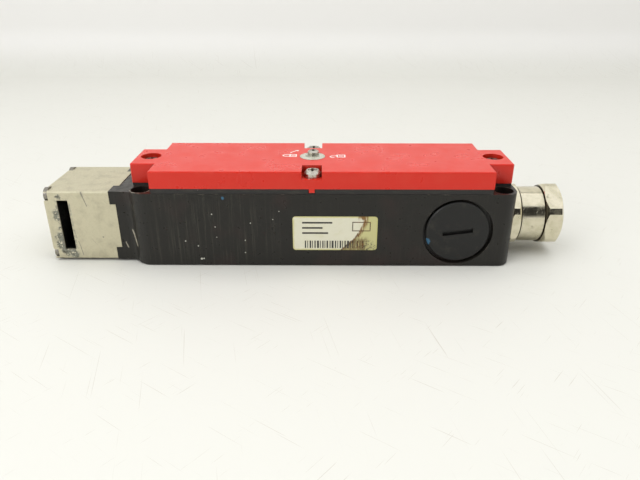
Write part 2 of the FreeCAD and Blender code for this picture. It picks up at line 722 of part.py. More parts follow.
def build_housing():
    body = new_body("housing")
    plan = sketch_on(body, "housing_plan", "XY_Plane")
    draw_rectangle(plan, (f"-{HALF_LENGTH}", f"-{HALF_WIDTH}"), (HALF_LENGTH, HALF_WIDTH))
    pad(body, plan, "housing_height")

    def is_neck_corner(edge):
        return is_upright(edge) and edge.Vertexes[0].X < 0

    def is_gland_corner(edge):
        return is_upright(edge) and edge.Vertexes[0].X > boss

    boss = number("mount_pitch_length") / 2
    soften(body, "neck_corners", "Fillet", "neck_corner_radius", is_neck_corner)
    soften(body, "gland_corners", "Fillet", "corner_radius", is_gland_corner)

    neck = sketch_on(body, "neck_section", "YZ_Plane", NECK_FACE)
    draw_rectangle(neck, ("-neck_half_width", "neck_bottom"), ("neck_half_width", "neck_top"))
    pad(body, neck, f"neck_length + {HALF_LENGTH} - mount_pitch_length / 2")
    lugs = sketch_on(body, "lug_section", "YZ_Plane", LUG_FACE)
    for low, high in lug_corners("0"):
        draw_rectangle(lugs, low, high)
    pad(body, lugs, "lug_length")

    side = number("neck_half_width")
    left = number(NECK_FACE)

    def joins_neck(edge):
        end = edge.Vertexes[0]
        beside_neck = left + SAME_PLACE < end.X < -boss
        return is_upright(edge) and beside_neck and abs(abs(end.Y) - side) < SAME_PLACE

    soften(body, "neck_blend", "Fillet", "neck_blend_radius", joins_neck)

    def is_bottom_edge(edge):
        return is_level_at(edge, 0)

    soften(body, "foot_bevel", "Chamfer", "bottom_bevel", is_bottom_edge)

    inside = sketch_on(body, "inside_plan", "XY_Plane", "housing_height")
    draw_rectangle(inside, (f"-{INSIDE_LENGTH}", f"-{INSIDE_WIDTH}"), (INSIDE_LENGTH, INSIDE_WIDTH))
    pocket(body, inside, "housing_height - housing_floor")
    passage = sketch_on(body, "passage_section", "YZ_Plane", f"-{INSIDE_LENGTH}")
    draw_rectangle(
        passage, ("-passage_half_width", "passage_bottom"), ("passage_half_width", "passage_top")
    )
    pocket(body, passage, f"{HALF_LENGTH} + neck_length + lug_length - {INSIDE_LENGTH}")

    posts = sketch_on(body, "post_plan", "XY_Plane", "housing_floor")
    for centre in SIDE_SCREWS:
        draw_circle(posts, centre, "screw_boss_radius")
    pad(body, posts, "housing_height - housing_floor")
    for side_name, sign in MIRROR:
        block = sketch_on(body, f"entry_block_{side_name}", "XZ_Plane", f"{sign} * {ENTRY_INNER}")
        draw_rectangle(
            block,
            ("entry_place - entry_boss_radius", "housing_floor"),
            ("entry_place + entry_boss_radius", "housing_height"),
        )
        pad(body, block, "entry_boss_reach - housing_wall / 2", backwards=sign == "1")
    earth = sketch_on(body, "earth_boss", "XY_Plane", "housing_floor")
    draw_circle(earth, ("earth_place", "0"), "earth_boss_radius")
    pad(body, earth, "earth_boss_height")

    cross_bore = sketch_on(body, "side_entries", "XZ_Plane", f"-{HALF_WIDTH}")
    draw_circle(cross_bore, ("entry_place", "entry_height"), "entry_radius")
    pocket(body, cross_bore, f"2 * {HALF_WIDTH}")
    for side_name, sign in MIRROR:
        rim = sketch_on(body, f"entry_counterbore_{side_name}", "XZ_Plane", f"{sign} * {HALF_WIDTH}")
        draw_circle(rim, ("entry_place", "entry_height"), "entry_counterbore_radius")
        pocket(body, rim, "entry_counterbore_depth", backwards=sign == "1")
    end_entry = sketch_on(body, "end_entry", "YZ_Plane", HALF_LENGTH)
    draw_circle(end_entry, ("0", "entry_height"), "entry_radius")
    pocket(body, end_entry, f"{HALF_LENGTH} - {INSIDE_LENGTH}")

    holes = sketch_on(body, "mounting_holes", "XY_Plane", "housing_height")
    for centre in MOUNTS:
        draw_circle(holes, centre, "mount_hole_radius")
    pocket(body, holes, "housing_height")
    sinks = sketch_on(body, "mounting_counterbores", "XY_Plane", "housing_height")
    for centre in MOUNTS:
        draw_circle(sinks, centre, "mount_counterbore_radius")
    pocket(body, sinks, "mount_counterbore_depth")

    for name, seat, length, spots in COVER_SCREWS:
        threads = sketch_on(body, f"{name}_screw_holes", "XY_Plane", "housing_height")
        for centre in spots:
            draw_circle(threads, centre, "cover_screw_radius")
        pocket(body, threads, f"{length} - {seat} + housing_height + screw_tip_gap")
    earth_hole = sketch_on(body, "earth_hole", "XY_Plane", EARTH_SEAT)
    draw_circle(earth_hole, ("earth_place", "0"), "earth_screw_radius")
    pocket(body, earth_hole, "earth_screw_length")
    head_holes = sketch_on(body, "head_screw_holes", "YZ_Plane", LUG_FACE)
    for centre in HEAD_SCREWS:
        draw_circle(head_holes, centre, "head_screw_radius")
    pocket(body, head_holes, "head_screw_grip", backwards=True)
    feet = sketch_on(body, "solenoid_screw_holes", "XY_Plane", "housing_floor")
    for centre in SOLENOID_SCREWS:
        draw_circle(feet, centre, "solenoid_screw_radius")
    pocket(body, feet, "solenoid_screw_inset + screw_tip_gap")
    return body


HEAD_SCREWS = [
    (f"{side} * head_screw_place_y", height)
    for side in ("-1", "1")
    for height in ("head_screw_bottom", "head_screw_top")
]
FOOT_Y = f"({INSIDE_WIDTH} - foot_wall_gap - solenoid_foot / 2)"
SOLENOID_SCREWS = [
    ("(solenoid_left + solenoid_length / 4)", f"-{FOOT_Y}"),
    ("(solenoid_left + solenoid_length * 3 / 4)", FOOT_Y),
]


# Cover, seal and their screws


EARS = ((f"-{EAR_END}", "-cover_half_length"), ("cover_half_length", EAR_END))


def cover_outline(inset):
    """Plate with a narrower ear at each end, drawn in by an inset."""
    half = f"(cover_half_length - {inset})"
    end = f"({EAR_END} - {inset})"
    wide = f"({HALF_WIDTH} - {inset})"
    ear = f"(ear_half_width - {inset})"
    return [
        (f"-{half}", f"-{wide}"),
        (half, f"-{wide}"),
        (half, f"-{ear}"),
        (end, f"-{ear}"),
        (end, ear),
        (half, ear),
        (half, wide),
        (f"-{half}", wide),
        (f"-{half}", ear),
        (f"-{end}", ear),
        (f"-{end}", f"-{ear}"),
        (f"-{half}", f"-{ear}"),
    ]


def build_cover_gasket():
    body = new_body("cover_gasket")
    plan = sketch_on(body, "gasket_plan", "XY_Plane", "housing_height")
    draw_polygon(plan, cover_outline("gasket_inset"))
    pad(body, plan, "gasket_thickness")
    inside = sketch_on(body, "gasket_inside", "XY_Plane", COVER_BASE)
    inner_x = "(cover_half_length - gasket_width)"
    inner_y = f"({HALF_WIDTH} - gasket_width)"
    draw_rectangle(inside, (f"-{inner_x}", f"-{inner_y}"), (inner_x, inner_y))
    pocket(body, inside, "gasket_thickness")
    pads = sketch_on(body, "gasket_pads", "XY_Plane", "housing_height")
    for centre in SIDE_SCREWS:
        draw_circle(pads, centre, "screw_boss_radius")
    pad(body, pads, "gasket_thickness")
    holes = sketch_on(body, "gasket_holes", "XY_Plane", COVER_BASE)
    for centre in END_SCREWS + SIDE_SCREWS:
        draw_circle(holes, centre, "cover_screw_radius")
    pocket(body, holes, "gasket_thickness")
    steps = sketch_on(body, "gasket_steps", "XY_Plane", COVER_BASE)
    for low_x, high_x in EARS:
        draw_rectangle(steps, (low_x, "-ear_half_width"), (high_x, "ear_half_width"))
    pocket(body, steps, "ear_drop")
    tab = sketch_on(body, "gasket_tab", "XY_Plane", COVER_BASE)
    draw_rectangle(
        tab,
        ("side_notch_place - tab_width / 2 - tab_clearance", f"-{HALF_WIDTH}"),
        ("side_notch_place + tab_width / 2 + tab_clearance", f"-{HALF_WIDTH} + tab_depth + tab_clearance"),
    )
    pocket(body, tab, "tab_drop + tab_clearance")
    return body


def build_cover():
    body = new_body("cover")
    plan = sketch_on(body, "cover_plan", "XY_Plane", COVER_BASE)
    draw_polygon(plan, cover_outline("0"))
    pad(body, plan, "cover_thickness")
    ears = sketch_on(body, "ear_feet", "XY_Plane", EAR_BASE)
    for low_x, high_x in EARS:
        draw_rectangle(ears, (low_x, "-ear_half_width"), (high_x, "ear_half_width"))
    pad(body, ears, "ear_drop")
    top = number(COVER_TOP)
    ear_end = number(EAR_END)

    def is_ear_corner(edge):
        return is_upright(edge) and abs(abs(edge.Vertexes[0].X) - ear_end) < SAME_PLACE

    soften(body, "ear_corners", "Chamfer", "ear_bevel", is_ear_corner)

    def is_top_edge(edge):
        return is_level_at(edge, top)

    soften(body, "cover_rounding", "Fillet", "cover_edge_radius", is_top_edge)

    inside = sketch_on(body, "cover_inside", "XY_Plane", COVER_BASE)
    inner_x = "(cover_half_length - cover_rim)"
    inner_y = f"({HALF_WIDTH} - cover_rim)"
    draw_rectangle(inside, (f"-{inner_x}", f"-{inner_y}"), (inner_x, inner_y))
    pocket(body, inside, "cover_thickness - cover_top_thickness", backwards=True)
    blocks = sketch_on(body, "cover_blocks", "XY_Plane", COVER_BASE)
    block_left = "(side_notch_place - side_notch_width / 2 - notch_block_wall)"
    block_right = "(side_notch_place + side_notch_width / 2 + notch_block_wall)"
    block_inner = f"({NOTCH_INNER} - notch_block_wall)"
    block_outer = f"({HALF_WIDTH} - cover_rim / 2)"
    draw_rectangle(blocks, (block_left, f"-{block_outer}"), (block_right, f"-{block_inner}"))
    draw_rectangle(blocks, (block_left, block_inner), (block_right, block_outer))
    draw_circle(blocks, ("release_place", "0"), "release_boss_radius")
    pad(body, blocks, "cover_thickness - cover_top_thickness")

    notches = sketch_on(body, "cover_notches", "XY_Plane", COVER_TOP)
    notch_left = "side_notch_place - side_notch_width / 2"
    notch_right = "side_notch_place + side_notch_width / 2"
    draw_rectangle(notches, (notch_left, f"-{HALF_WIDTH} - cut_margin"), (notch_right, f"-{NOTCH_INNER}"))
    draw_rectangle(notches, (notch_left, NOTCH_INNER), (notch_right, f"{HALF_WIDTH} + cut_margin"))
    pocket(body, notches, "side_notch_floor")
    tab = sketch_on(body, "locating_tab", "XY_Plane", f"{COVER_BASE} - tab_drop")
    draw_rectangle(
        tab,
        ("side_notch_place - tab_width / 2", f"-{HALF_WIDTH}"),
        ("side_notch_place + tab_width / 2", f"-{HALF_WIDTH} + tab_depth"),
    )
    pad(body, tab, "tab_drop + cut_margin")

    holes = sketch_on(body, "cover_holes", "XY_Plane", COVER_TOP)
    for centre in END_SCREWS + SIDE_SCREWS:
        draw_circle(holes, centre, "cover_screw_radius")
    draw_circle(holes, ("release_place", "0"), "release_shaft_radius + running_clearance")
    pocket(body, holes, "cover_thickness + ear_drop")
    seats = sketch_on(body, "end_screw_seats", "XY_Plane", COVER_TOP)
    for centre in END_SCREWS:
        draw_circle(seats, centre, "end_screw_counterbore_radius")
    pocket(body, seats, "end_screw_seat_depth")
    disc_seat = sketch_on(body, "disc_seat", "XY_Plane", COVER_TOP)
    draw_circle(disc_seat, ("release_place", "0"), "release_disc_radius + running_clearance")
    pocket(body, disc_seat, f"{COVER_TOP} - {DISC_SEAT}")
    seal_seat = sketch_on(body, "seal_seat", "XY_Plane", COVER_BASE)
    draw_circle(seal_seat, ("release_place", "0"), "release_seal_radius")
    pocket(body, seal_seat, "release_seal_thickness", backwards=True)
    return body


def build_cover_screws():
    for name, seat, length, spots in COVER_SCREWS:
        screws = [
            screw_down(
                f"{name}_screw_{index}",
                spot_x,
                spot_y,
                seat,
                length,
                "cover_screw_radius",
                "cover_screw_head_radius",
                "cover_screw_head_height",
            )
            for index, (spot_x, spot_y) in enumerate(spots)
        ]
        label = f"cover_{name}_screws"
        node(group(label, screws), label)


# Release: the disc turns with its shaft, crank and locking screw


def build_release():
    disc = cut(
        "release_disc",
        rod(
            "release_blank",
            "z",
            ("release_place", "0", DISC_SEAT),
            "release_disc_thickness",
            "release_disc_radius",
        ),
        [
            rod(
                "lock_screw_thread",
                "z",
                (LOCK_SCREW_X, LOCK_SCREW_Y, DISC_SEAT),
                "release_disc_thickness",
                "lock_screw_radius",
            ),
            box(
                "screwdriver_slot",
                (
                    "release_place - release_slot_length / 2",
                    "-release_slot_width / 2",
                    f"{DISC_TOP} - release_slot_depth",
                ),
                ("release_place + release_slot_length / 2", "release_slot_width / 2", DISC_TOP),
            ),
        ],
    )
    node(disc, "release_disc")
    shaft = rod(
        "release_shaft",
        "z",
        ("release_place", "0", CRANK_TOP),
        f"{DISC_SEAT} - {CRANK_TOP}",
        "release_shaft_radius",
    )
    node(shaft, "release_shaft")
    cheek = rod(
        "crank_cheek",
        "z",
        ("release_place", "0", CRANK_BOTTOM),
        "release_crank_thickness",
        "release_crank_radius",
    )
    pin_bottom = f"({BOLT_AXIS} - yoke_thickness / 2 - release_pin_reach)"
    pin = rod(
        "crank_pin",
        "z",
        ("release_place - release_crank_offset", "0", pin_bottom),
        f"{CRANK_BOTTOM} - {pin_bottom}",
        "release_pin_radius",
    )
    node(join("release_crank", [cheek, pin]), "release_crank")
    seal = ring(
        "release_seal",
        "z",
        ("release_place", "0", COVER_BASE),
        "release_seal_thickness",
        "release_seal_radius",
        "release_shaft_radius + running_clearance / 2",
    )
    node(seal, "release_seal")
    lock = screw_down(
        "release_lock_screw",
        LOCK_SCREW_X,
        LOCK_SCREW_Y,
        DISC_TOP,
        "(release_disc_thickness - running_clearance)",
        "lock_screw_radius",
        "lock_screw_head_radius",
        "lock_screw_head_height",
    )
    node(lock, "release_lock_screw")


# Head: casing, seal, screws, axle


def build_head_casing():
    body = new_body("head_casing")
    section = sketch_on(body, "head_section", "YZ_Plane", HEAD_LEFT)
    draw_rectangle(section, ("-neck_half_width", "neck_bottom"), ("neck_half_width", "neck_top"))
    pad(body, section, "head_length")
    right = number(HEAD_RIGHT)

    def is_outer(edge):
        return edge.BoundBox.XMin < right - SAME_PLACE

    soften(body, "head_rounding", "Fillet", "head_edge_radius", is_outer)

    corners = sketch_on(body, "lug_seats", "YZ_Plane", HEAD_RIGHT)
    for low, high in lug_corners("lug_clearance"):
        outer_low = tuple(f"{text} - cut_margin" if text in OUTER_LOW else text for text in low)
        outer_high = tuple(f"{text} + cut_margin" if text in OUTER_HIGH else text for text in high)
        draw_rectangle(corners, outer_low, outer_high)
    pocket(body, corners, f"{HEAD_RIGHT} - {LUG_FACE}")

    recesses = sketch_on(body, "head_screw_recesses", "YZ_Plane", HEAD_LEFT)
    for centre in HEAD_SCREWS:
        draw_circle(recesses, centre, "head_screw_recess_radius")
    pocket(body, recesses, "head_screw_recess_depth", backwards=True)
    holes = sketch_on(body, "head_screw_ways", "YZ_Plane", HEAD_LEFT)
    for centre in HEAD_SCREWS:
        draw_circle(holes, centre, "head_screw_radius")
    pocket(body, holes, "head_length", backwards=True)

    height = "head_cavity_top - head_cavity_bottom"
    well = sketch_on(body, "wheel_well", "XY_Plane", "head_cavity_top")
    draw_circle(well, ("wheel_place", "0"), "wheel_radius + wheel_cavity_clearance")
    pocket(body, well, height)
    mouth = sketch_on(body, "well_mouth", "XY_Plane", "head_cavity_top")
    draw_rectangle(
        mouth,
        ("wheel_place", "-passage_half_width"),
        (f"{HEAD_RIGHT} + cut_margin", "passage_half_width"),
    )
    pocket(body, mouth, height)
    slot = sketch_on(body, "tongue_slot", "XY_Plane", "head_cavity_top")
    draw_rectangle(
        slot,
        ("slot_left", "-neck_half_width - cut_margin"),
        ("slot_left + slot_width", "slot_depth - neck_half_width"),
    )
    pocket(body, slot, height)
    axle = sketch_on(body, "axle_bore", "XY_Plane", "neck_bottom")
    draw_circle(axle, ("wheel_place", "0"), "axle_radius")
    pocket(body, axle, "head_cavity_top + axle_blind_depth - neck_bottom", backwards=True)
    return body


def build_head_fittings():
    face = box(
        "head_gasket_blank",
        (HEAD_RIGHT, "head_gasket_inset - neck_half_width", "neck_bottom + head_gasket_inset"),
        (NECK_FACE, "neck_half_width - head_gasket_inset", "neck_top - head_gasket_inset"),
    )
    window = box(
        "head_gasket_window",
        (HEAD_RIGHT, "head_gasket_web - passage_half_width", "passage_bottom"),
        (NECK_FACE, "passage_half_width - head_gasket_web", "passage_top"),
    )
    lug_cuts = [
        box(f"head_gasket_corner_{index}", (HEAD_RIGHT, low[0], low[1]), (NECK_FACE, high[0], high[1]))
        for index, (low, high) in enumerate(lug_corners("lug_clearance"))
    ]
    node(cut("head_gasket", face, [window] + lug_cuts), "head_gasket")
    screws = [screw_inwards(f"head_screw_{index}", *spot) for index, spot in enumerate(HEAD_SCREWS)]
    node(group("head_screws", screws), "head_screws")
    axle = rod(
        "wheel_axle",
        "z",
        ("wheel_place", "0", "neck_bottom"),
        "head_cavity_top + axle_blind_depth - neck_bottom",
        "axle_radius",
    )
    node(axle, "wheel_axle")


# Cam wheel with its mouth and locking notches, and the eccentric on top of it


def dowels(name, low, length):
    return [
        rod(
            f"{name}_{side}",
            "z",
            (
                f"wheel_place + dowel_orbit * cos(eccentric_angle + {sign} * dowel_spread)",
                f"dowel_orbit * sin(eccentric_angle + {sign} * dowel_spread)",
                low,
            ),
            length,
            "dowel_radius",
        )
        for side, sign in MIRROR
    ]


def build_cam_wheel():
    rim = rod(
        "wheel_rim",
        "z",
        ("wheel_place", "0", "wheel_bottom"),
        "wheel_top - wheel_bottom",
        "wheel_radius",
    )
    hub_bottom = "(head_cavity_bottom + wheel_end_play)"
    hub = rod(
        "wheel_hub",
        "z",
        ("wheel_place", "0", hub_bottom),
        f"wheel_bottom - {hub_bottom}",
        "hub_radius",
    )
    bore = rod(
        "wheel_bore",
        "z",
        ("wheel_place", "0", hub_bottom),
        f"wheel_top - {hub_bottom}",
        "axle_radius + running_clearance",
    )
    mouth = radial_slot(
        "tongue_mouth",
        "mouth_angle",
        "mouth_root",
        "mouth_width",
        "wheel_bottom",
        "wheel_top",
    )
    rest_notch = radial_slot(
        "rest_notch",
        "0 * lock_notch_step",
        "lock_notch_root",
        "lock_notch_width",
        "wheel_bottom",
        "wheel_top",
    )
    lock_notch = radial_slot(
        "lock_notch", "lock_notch_step", "lock_notch_root", "lock_notch_width", "wheel_bottom", "wheel_top"
    )
    pin_low = "(wheel_top - dowel_length / 2)"
    wheel = cut(
        "cam_wheel",
        join("wheel_solid", [rim, hub]),
        [bore, mouth, rest_notch, lock_notch] + dowels("wheel_dowel_hole", pin_low, "dowel_length / 2"),
    )
    node(wheel, "cam_wheel")
    cam_top = "(head_cavity_top - wheel_end_play)"
    cam = cut(
        "eccentric_cam",
        rod(
            "cam_blank",
            "z",
            (ECCENTRIC_X, ECCENTRIC_Y, "wheel_top"),
            f"{cam_top} - wheel_top",
            "eccentric_radius",
        ),
        [
            rod(
                "cam_bore",
                "z",
                ("wheel_place", "0", "wheel_top"),
                f"{cam_top} - wheel_top",
                "axle_radius + running_clearance",
            )
        ]
        + dowels("cam_dowel_hole", "wheel_top", "dowel_length / 2"),
    )
    node(cam, "eccentric_cam")
    node(group("cam_dowels", dowels("cam_dowel", pin_low, "dowel_length")), "cam_dowels")


# Locking bolt, armature, rod and yoke slide as one


def build_bolt():
    nose_centre = f"({BOLT_TIP} + bolt_half_width)"
    nose = rod("bolt_nose", "z", (nose_centre, "0", BOLT_BOTTOM), "bolt_height", "bolt_half_width")
    blade = box(
        "bolt_blade",
        (nose_centre, "-bolt_half_width", BOLT_BOTTOM),
        ("bolt_collar_place", "bolt_half_width", BOLT_TOP),
    )
    collar = rod(
        "bolt_collar",
        "x",
        ("bolt_collar_place", "0", BOLT_AXIS),
        "bolt_collar_thickness",
        "bolt_collar_radius",
    )
    node(join("locking_bolt", [nose, blade, collar]), "locking_bolt")
    armature = cut(
        "armature",
        rod(
            "armature_blank",
            "x",
            (ARMATURE_LEFT, "0", BOLT_AXIS),
            f"armature_end - {ARMATURE_LEFT}",
            "bobbin_bore_radius - armature_clearance",
        ),
        [rod("armature_bore", "x", ("armature_end - rod_grip", "0", BOLT_AXIS), "rod_grip", "rod_radius")],
    )
    node(armature, "armature")
    tail = rod(
        "armature_rod",
        "x",
        ("armature_end - rod_grip", "0", BOLT_AXIS),
        f"{WINDOW_LEFT} - yoke_socket_end - armature_end + rod_grip",
        "rod_radius",
    )
    node(tail, "armature_rod")
    low = f"({BOLT_AXIS} - yoke_thickness / 2)"
    high = f"({BOLT_AXIS} + yoke_thickness / 2)"
    plate = box("yoke_plate", (YOKE_LEFT, "-yoke_half_width", low), (YOKE_RIGHT, "yoke_half_width", high))
    window = box("yoke_window", (WINDOW_LEFT, f"-{PIN_SWEEP}", low), (WINDOW_RIGHT, PIN_SWEEP, high))
    socket = rod(
        "yoke_socket",
        "x",
        (YOKE_LEFT, "0", BOLT_AXIS),
        "yoke_wall - yoke_socket_end",
        "rod_radius",
    )
    node(cut("bolt_yoke", plate, [window, socket]), "bolt_yoke")
    spring = spring_along_x(
        "bolt_spring",
        f"({ARMATURE_LEFT} + spring_seat_gap)",
        f"(solenoid_left - {ARMATURE_LEFT} - 2 * spring_seat_gap)",
        "0",
        BOLT_AXIS,
        "(bobbin_bore_radius + spring_clearance)",
    )
    node(spring, "bolt_spring")


def build_solenoid():
    base = box(
        "frame_base",
        ("solenoid_left", "-solenoid_half_width", "housing_floor"),
        (SOLENOID_RIGHT, "solenoid_half_width", "housing_floor + frame_sheet"),
    )
    ends = [
        box(
            f"frame_end_{index}",
            (start, "-solenoid_half_width", "housing_floor"),
            (f"{start} + frame_sheet", "solenoid_half_width", "housing_floor + frame_height"),
        )
        for index, start in enumerate(("solenoid_left", f"{SOLENOID_RIGHT} - frame_sheet"))
    ]
    foot_outer = f"({FOOT_Y} + solenoid_foot / 2)"
    feet = []
    for (side, sign), (spot_x, spot_y) in zip(MIRROR, SOLENOID_SCREWS):
        low_y, high_y = span(sign, "0", foot_outer)
        feet.append(
            box(
                f"frame_foot_{side}",
                (f"{spot_x} - solenoid_foot / 2", low_y, "housing_floor"),
                (f"{spot_x} + solenoid_foot / 2", high_y, "housing_floor + frame_sheet"),
            )
        )
    bore = rod(
        "frame_bore",
        "x",
        ("solenoid_left", "0", BOLT_AXIS),
        "solenoid_length",
        "bobbin_bore_radius",
    )
    foot_holes = [
        rod(
            f"foot_hole_{index}",
            "z",
            (spot_x, spot_y, "housing_floor"),
            "frame_sheet",
            "solenoid_screw_radius",
        )
        for index, (spot_x, spot_y) in enumerate(SOLENOID_SCREWS)
    ]
    frame = cut("solenoid_frame", join("frame_solid", [base] + ends + feet), [bore] + foot_holes)
    node(frame, "solenoid_frame")
    screws = [
        screw_down(
            f"solenoid_screw_{index}",
            spot_x,
            spot_y,
            "housing_floor + frame_sheet",
            "frame_sheet + solenoid_screw_inset",
            "solenoid_screw_radius",
            "solenoid_screw_head_radius",
            "solenoid_screw_head_height",
        )
        for index, (spot_x, spot_y) in enumerate(SOLENOID_SCREWS)
    ]
    node(group("solenoid_screws", screws), "solenoid_screws")

    inner_left = "(solenoid_left + frame_sheet)"
    inner_length = "(solenoid_length - 2 * frame_sheet)"
    far_flange = f"{inner_left} + {inner_length} - bobbin_flange_thickness"
    tube = rod(
        "bobbin_tube", "x", (inner_left, "0", BOLT_AXIS), inner_length, "bobbin_bore_radius + bobbin_wall"
    )
    flanges = [
        rod(
            f"bobbin_flange_{index}",
            "x",
            (start, "0", BOLT_AXIS),
            "bobbin_flange_thickness",
            "bobbin_flange_radius",
        )
        for index, start in enumerate((inner_left, far_flange))
    ]
    hollow = rod("bobbin_bore", "x", (inner_left, "0", BOLT_AXIS), inner_length, "bobbin_bore_radius")
    node(cut("coil_bobbin", join("bobbin_solid", [tube] + flanges), [hollow]), "coil_bobbin")
    winding = ring(
        "coil_winding",
        "x",
        (f"{inner_left} + bobbin_flange_thickness", "0", BOLT_AXIS),
        f"{inner_length} - 2 * bobbin_flange_thickness",
        "winding_radius",
        "bobbin_bore_radius + bobbin_wall",
    )
    node(winding, "coil_winding")
    pole = ring(
        "pole_piece",
        "x",
        (POLE_LEFT, "0", BOLT_AXIS),
        f"{SOLENOID_RIGHT} - {POLE_LEFT}",
        "bobbin_bore_radius",
        "rod_radius + running_clearance",
    )
    node(pole, "pole_piece")


def build_guide_block():
    block = box(
        "guide_blank",
        (GUIDE_LEFT, "-passage_half_width", "passage_bottom"),
        (GUIDE_RIGHT, "passage_half_width", "passage_top"),
    )
    bolt_way = box(
        "bolt_way",
        (GUIDE_LEFT, "-bolt_half_width - slide_clearance", f"{BOLT_BOTTOM} - slide_clearance"),
        (GUIDE_RIGHT, "bolt_half_width + slide_clearance", f"{BOLT_TOP} + slide_clearance"),
    )
    follower_way = box(
        "follower_way",
        (GUIDE_LEFT, "follower_left_side - slide_clearance", "follower_bottom - slide_clearance"),
        (GUIDE_RIGHT, "follower_right_side + slide_clearance", "follower_top + slide_clearance"),
    )
    node(cut("guide_block", block, [bolt_way, follower_way]), "guide_block")


# Follower, contact slide and contacts

POLES = ("-0.5", "0.5")
POLE_CENTRE = "(block_left + (block_length - block_stop_thickness) / 2)"


def build_follower():
    bar = box(
        "follower_rod",
        (FOLLOWER_FACE, "follower_left_side", "follower_bottom"),
        ("slide_left", "follower_right_side", "follower_top"),
    )
    node(bar, "follower_rod")
    plate = box(
        "slide_plate",
        ("slide_left", "-slide_half_width", "follower_bottom"),
        ("slide_right", "slide_half_width", "follower_top"),
    )
    play = "(release_shaft_radius + slide_window_play)"
    window = box(
        "slide_window",
        (f"release_place - {play}", f"-{play}", "follower_bottom"),
        (f"release_place + {play} + eccentric_offset", play, "follower_top"),
    )
    node(cut("contact_slide", plate, [window]), "contact_slide")
    bridges = [
        box(
            f"bridge_{index}",
            (
                f"{POLE_CENTRE} + {step} * pole_pitch - bridge_width / 2",
                "bridge_gap - ledge_inner",
                "follower_bottom - contact_strip_thickness",
            ),
            (
                f"{POLE_CENTRE} + {step} * pole_pitch + bridge_width / 2",
                "ledge_inner - bridge_gap",
                "follower_bottom",
            ),
        )
        for index, step in enumerate(POLES)
    ]
    node(group("moving_contacts", bridges), "moving_contacts")
    spring = spring_along_x(
        "follower_spring",
        "(slide_right + spring_seat_gap)",
        f"({STOP_FACE} - slide_right - 2 * spring_seat_gap)",
        "0",
        "((follower_bottom + follower_top) / 2)",
        "follower_spring_radius",
    )
    node(spring, "follower_spring")


def build_contact_block():
    base = box(
        "block_base",
        ("block_left", "-block_half_width", "housing_floor"),
        (BLOCK_RIGHT, "block_half_width", "block_top"),
    )
    ledges = [
        box(
            "ledge_near",
            ("block_left", "-block_half_width", "block_top"),
            (BLOCK_RIGHT, "-ledge_inner", LEDGE_TOP),
        ),
        box(
            "ledge_far",
            ("block_left", "ledge_inner", "block_top"),
            (BLOCK_RIGHT, "block_half_width", LEDGE_TOP),
        ),
    ]
    stop = box(
        "block_stop",
        (STOP_FACE, "-slide_half_width", "block_top"),
        (BLOCK_RIGHT, "slide_half_width", "follower_top"),
    )
    spots = [
        (f"({POLE_CENTRE} + {step} * pole_pitch)", f"({sign} * {TERMINAL_Y})", sign)
        for step in POLES
        for side, sign in MIRROR
    ]
    screw_tip = f"({CLAMP_TOP} - terminal_screw_length)"
    holes = [
        rod(
            f"terminal_hole_{index}",
            "z",
            (spot_x, spot_y, screw_tip),
            f"{CLAMP_TOP} - {screw_tip}",
            "terminal_screw_radius",
        )
        for index, (spot_x, spot_y, sign) in enumerate(spots)
    ]
    node(cut("contact_block", join("block_solid", [base, stop] + ledges), holes), "contact_block")

    def plate(name, spot_x, spot_y, sign, half_x, near, far, low, high):
        low_y, high_y = span(sign, near, far)
        blank = box(
            f"{name}_blank",
            (f"{spot_x} - {half_x}", low_y, low),
            (f"{spot_x} + {half_x}", high_y, high),
        )
        hole = rod(f"{name}_hole", "z", (spot_x, spot_y, low), f"{high} - {low}", "terminal_screw_radius")
        return cut(name, blank, [hole])

    strips = [
        plate(
            f"strip_{index}",
            spot_x,
            spot_y,
            sign,
            "contact_strip_width / 2",
            "ledge_inner",
            "(block_half_width - contact_edge)",
            LEDGE_TOP,
            STRIP_TOP,
        )
        for index, (spot_x, spot_y, sign) in enumerate(spots)
    ]
    node(group("fixed_contacts", strips), "fixed_contacts")
    clamps = [
        plate(
            f"clamp_{index}",
            spot_x,
            spot_y,
            sign,
            "clamp_length / 2",
            f"({TERMINAL_Y} - clamp_length / 2)",
            f"({TERMINAL_Y} + clamp_length / 2)",
            STRIP_TOP,
            CLAMP_TOP,
        )
        for index, (spot_x, spot_y, sign) in enumerate(spots)
    ]
    node(group("terminal_clamps", clamps), "terminal_clamps")
    screws = [
        screw_down(
            f"terminal_screw_{index}",
            spot_x,
            spot_y,
            CLAMP_TOP,
            "terminal_screw_length",
            "terminal_screw_radius",
            "terminal_screw_head_radius",
            "terminal_screw_head_height",
            arm_count=1,
        )
        for index, (spot_x, spot_y, sign) in enumerate(spots)
    ]
    node(group("terminal_screws", screws), "terminal_screws")
    earth = screw_down(
        "earth_screw",
        "earth_place",
        "0",
        EARTH_SEAT,
        "earth_screw_length",
        "earth_screw_radius",
        "earth_screw_head_radius",
        "earth_screw_head_height",
    )
    node(earth, "earth_screw")


# Threaded entries: two blanking plugs and the cable gland


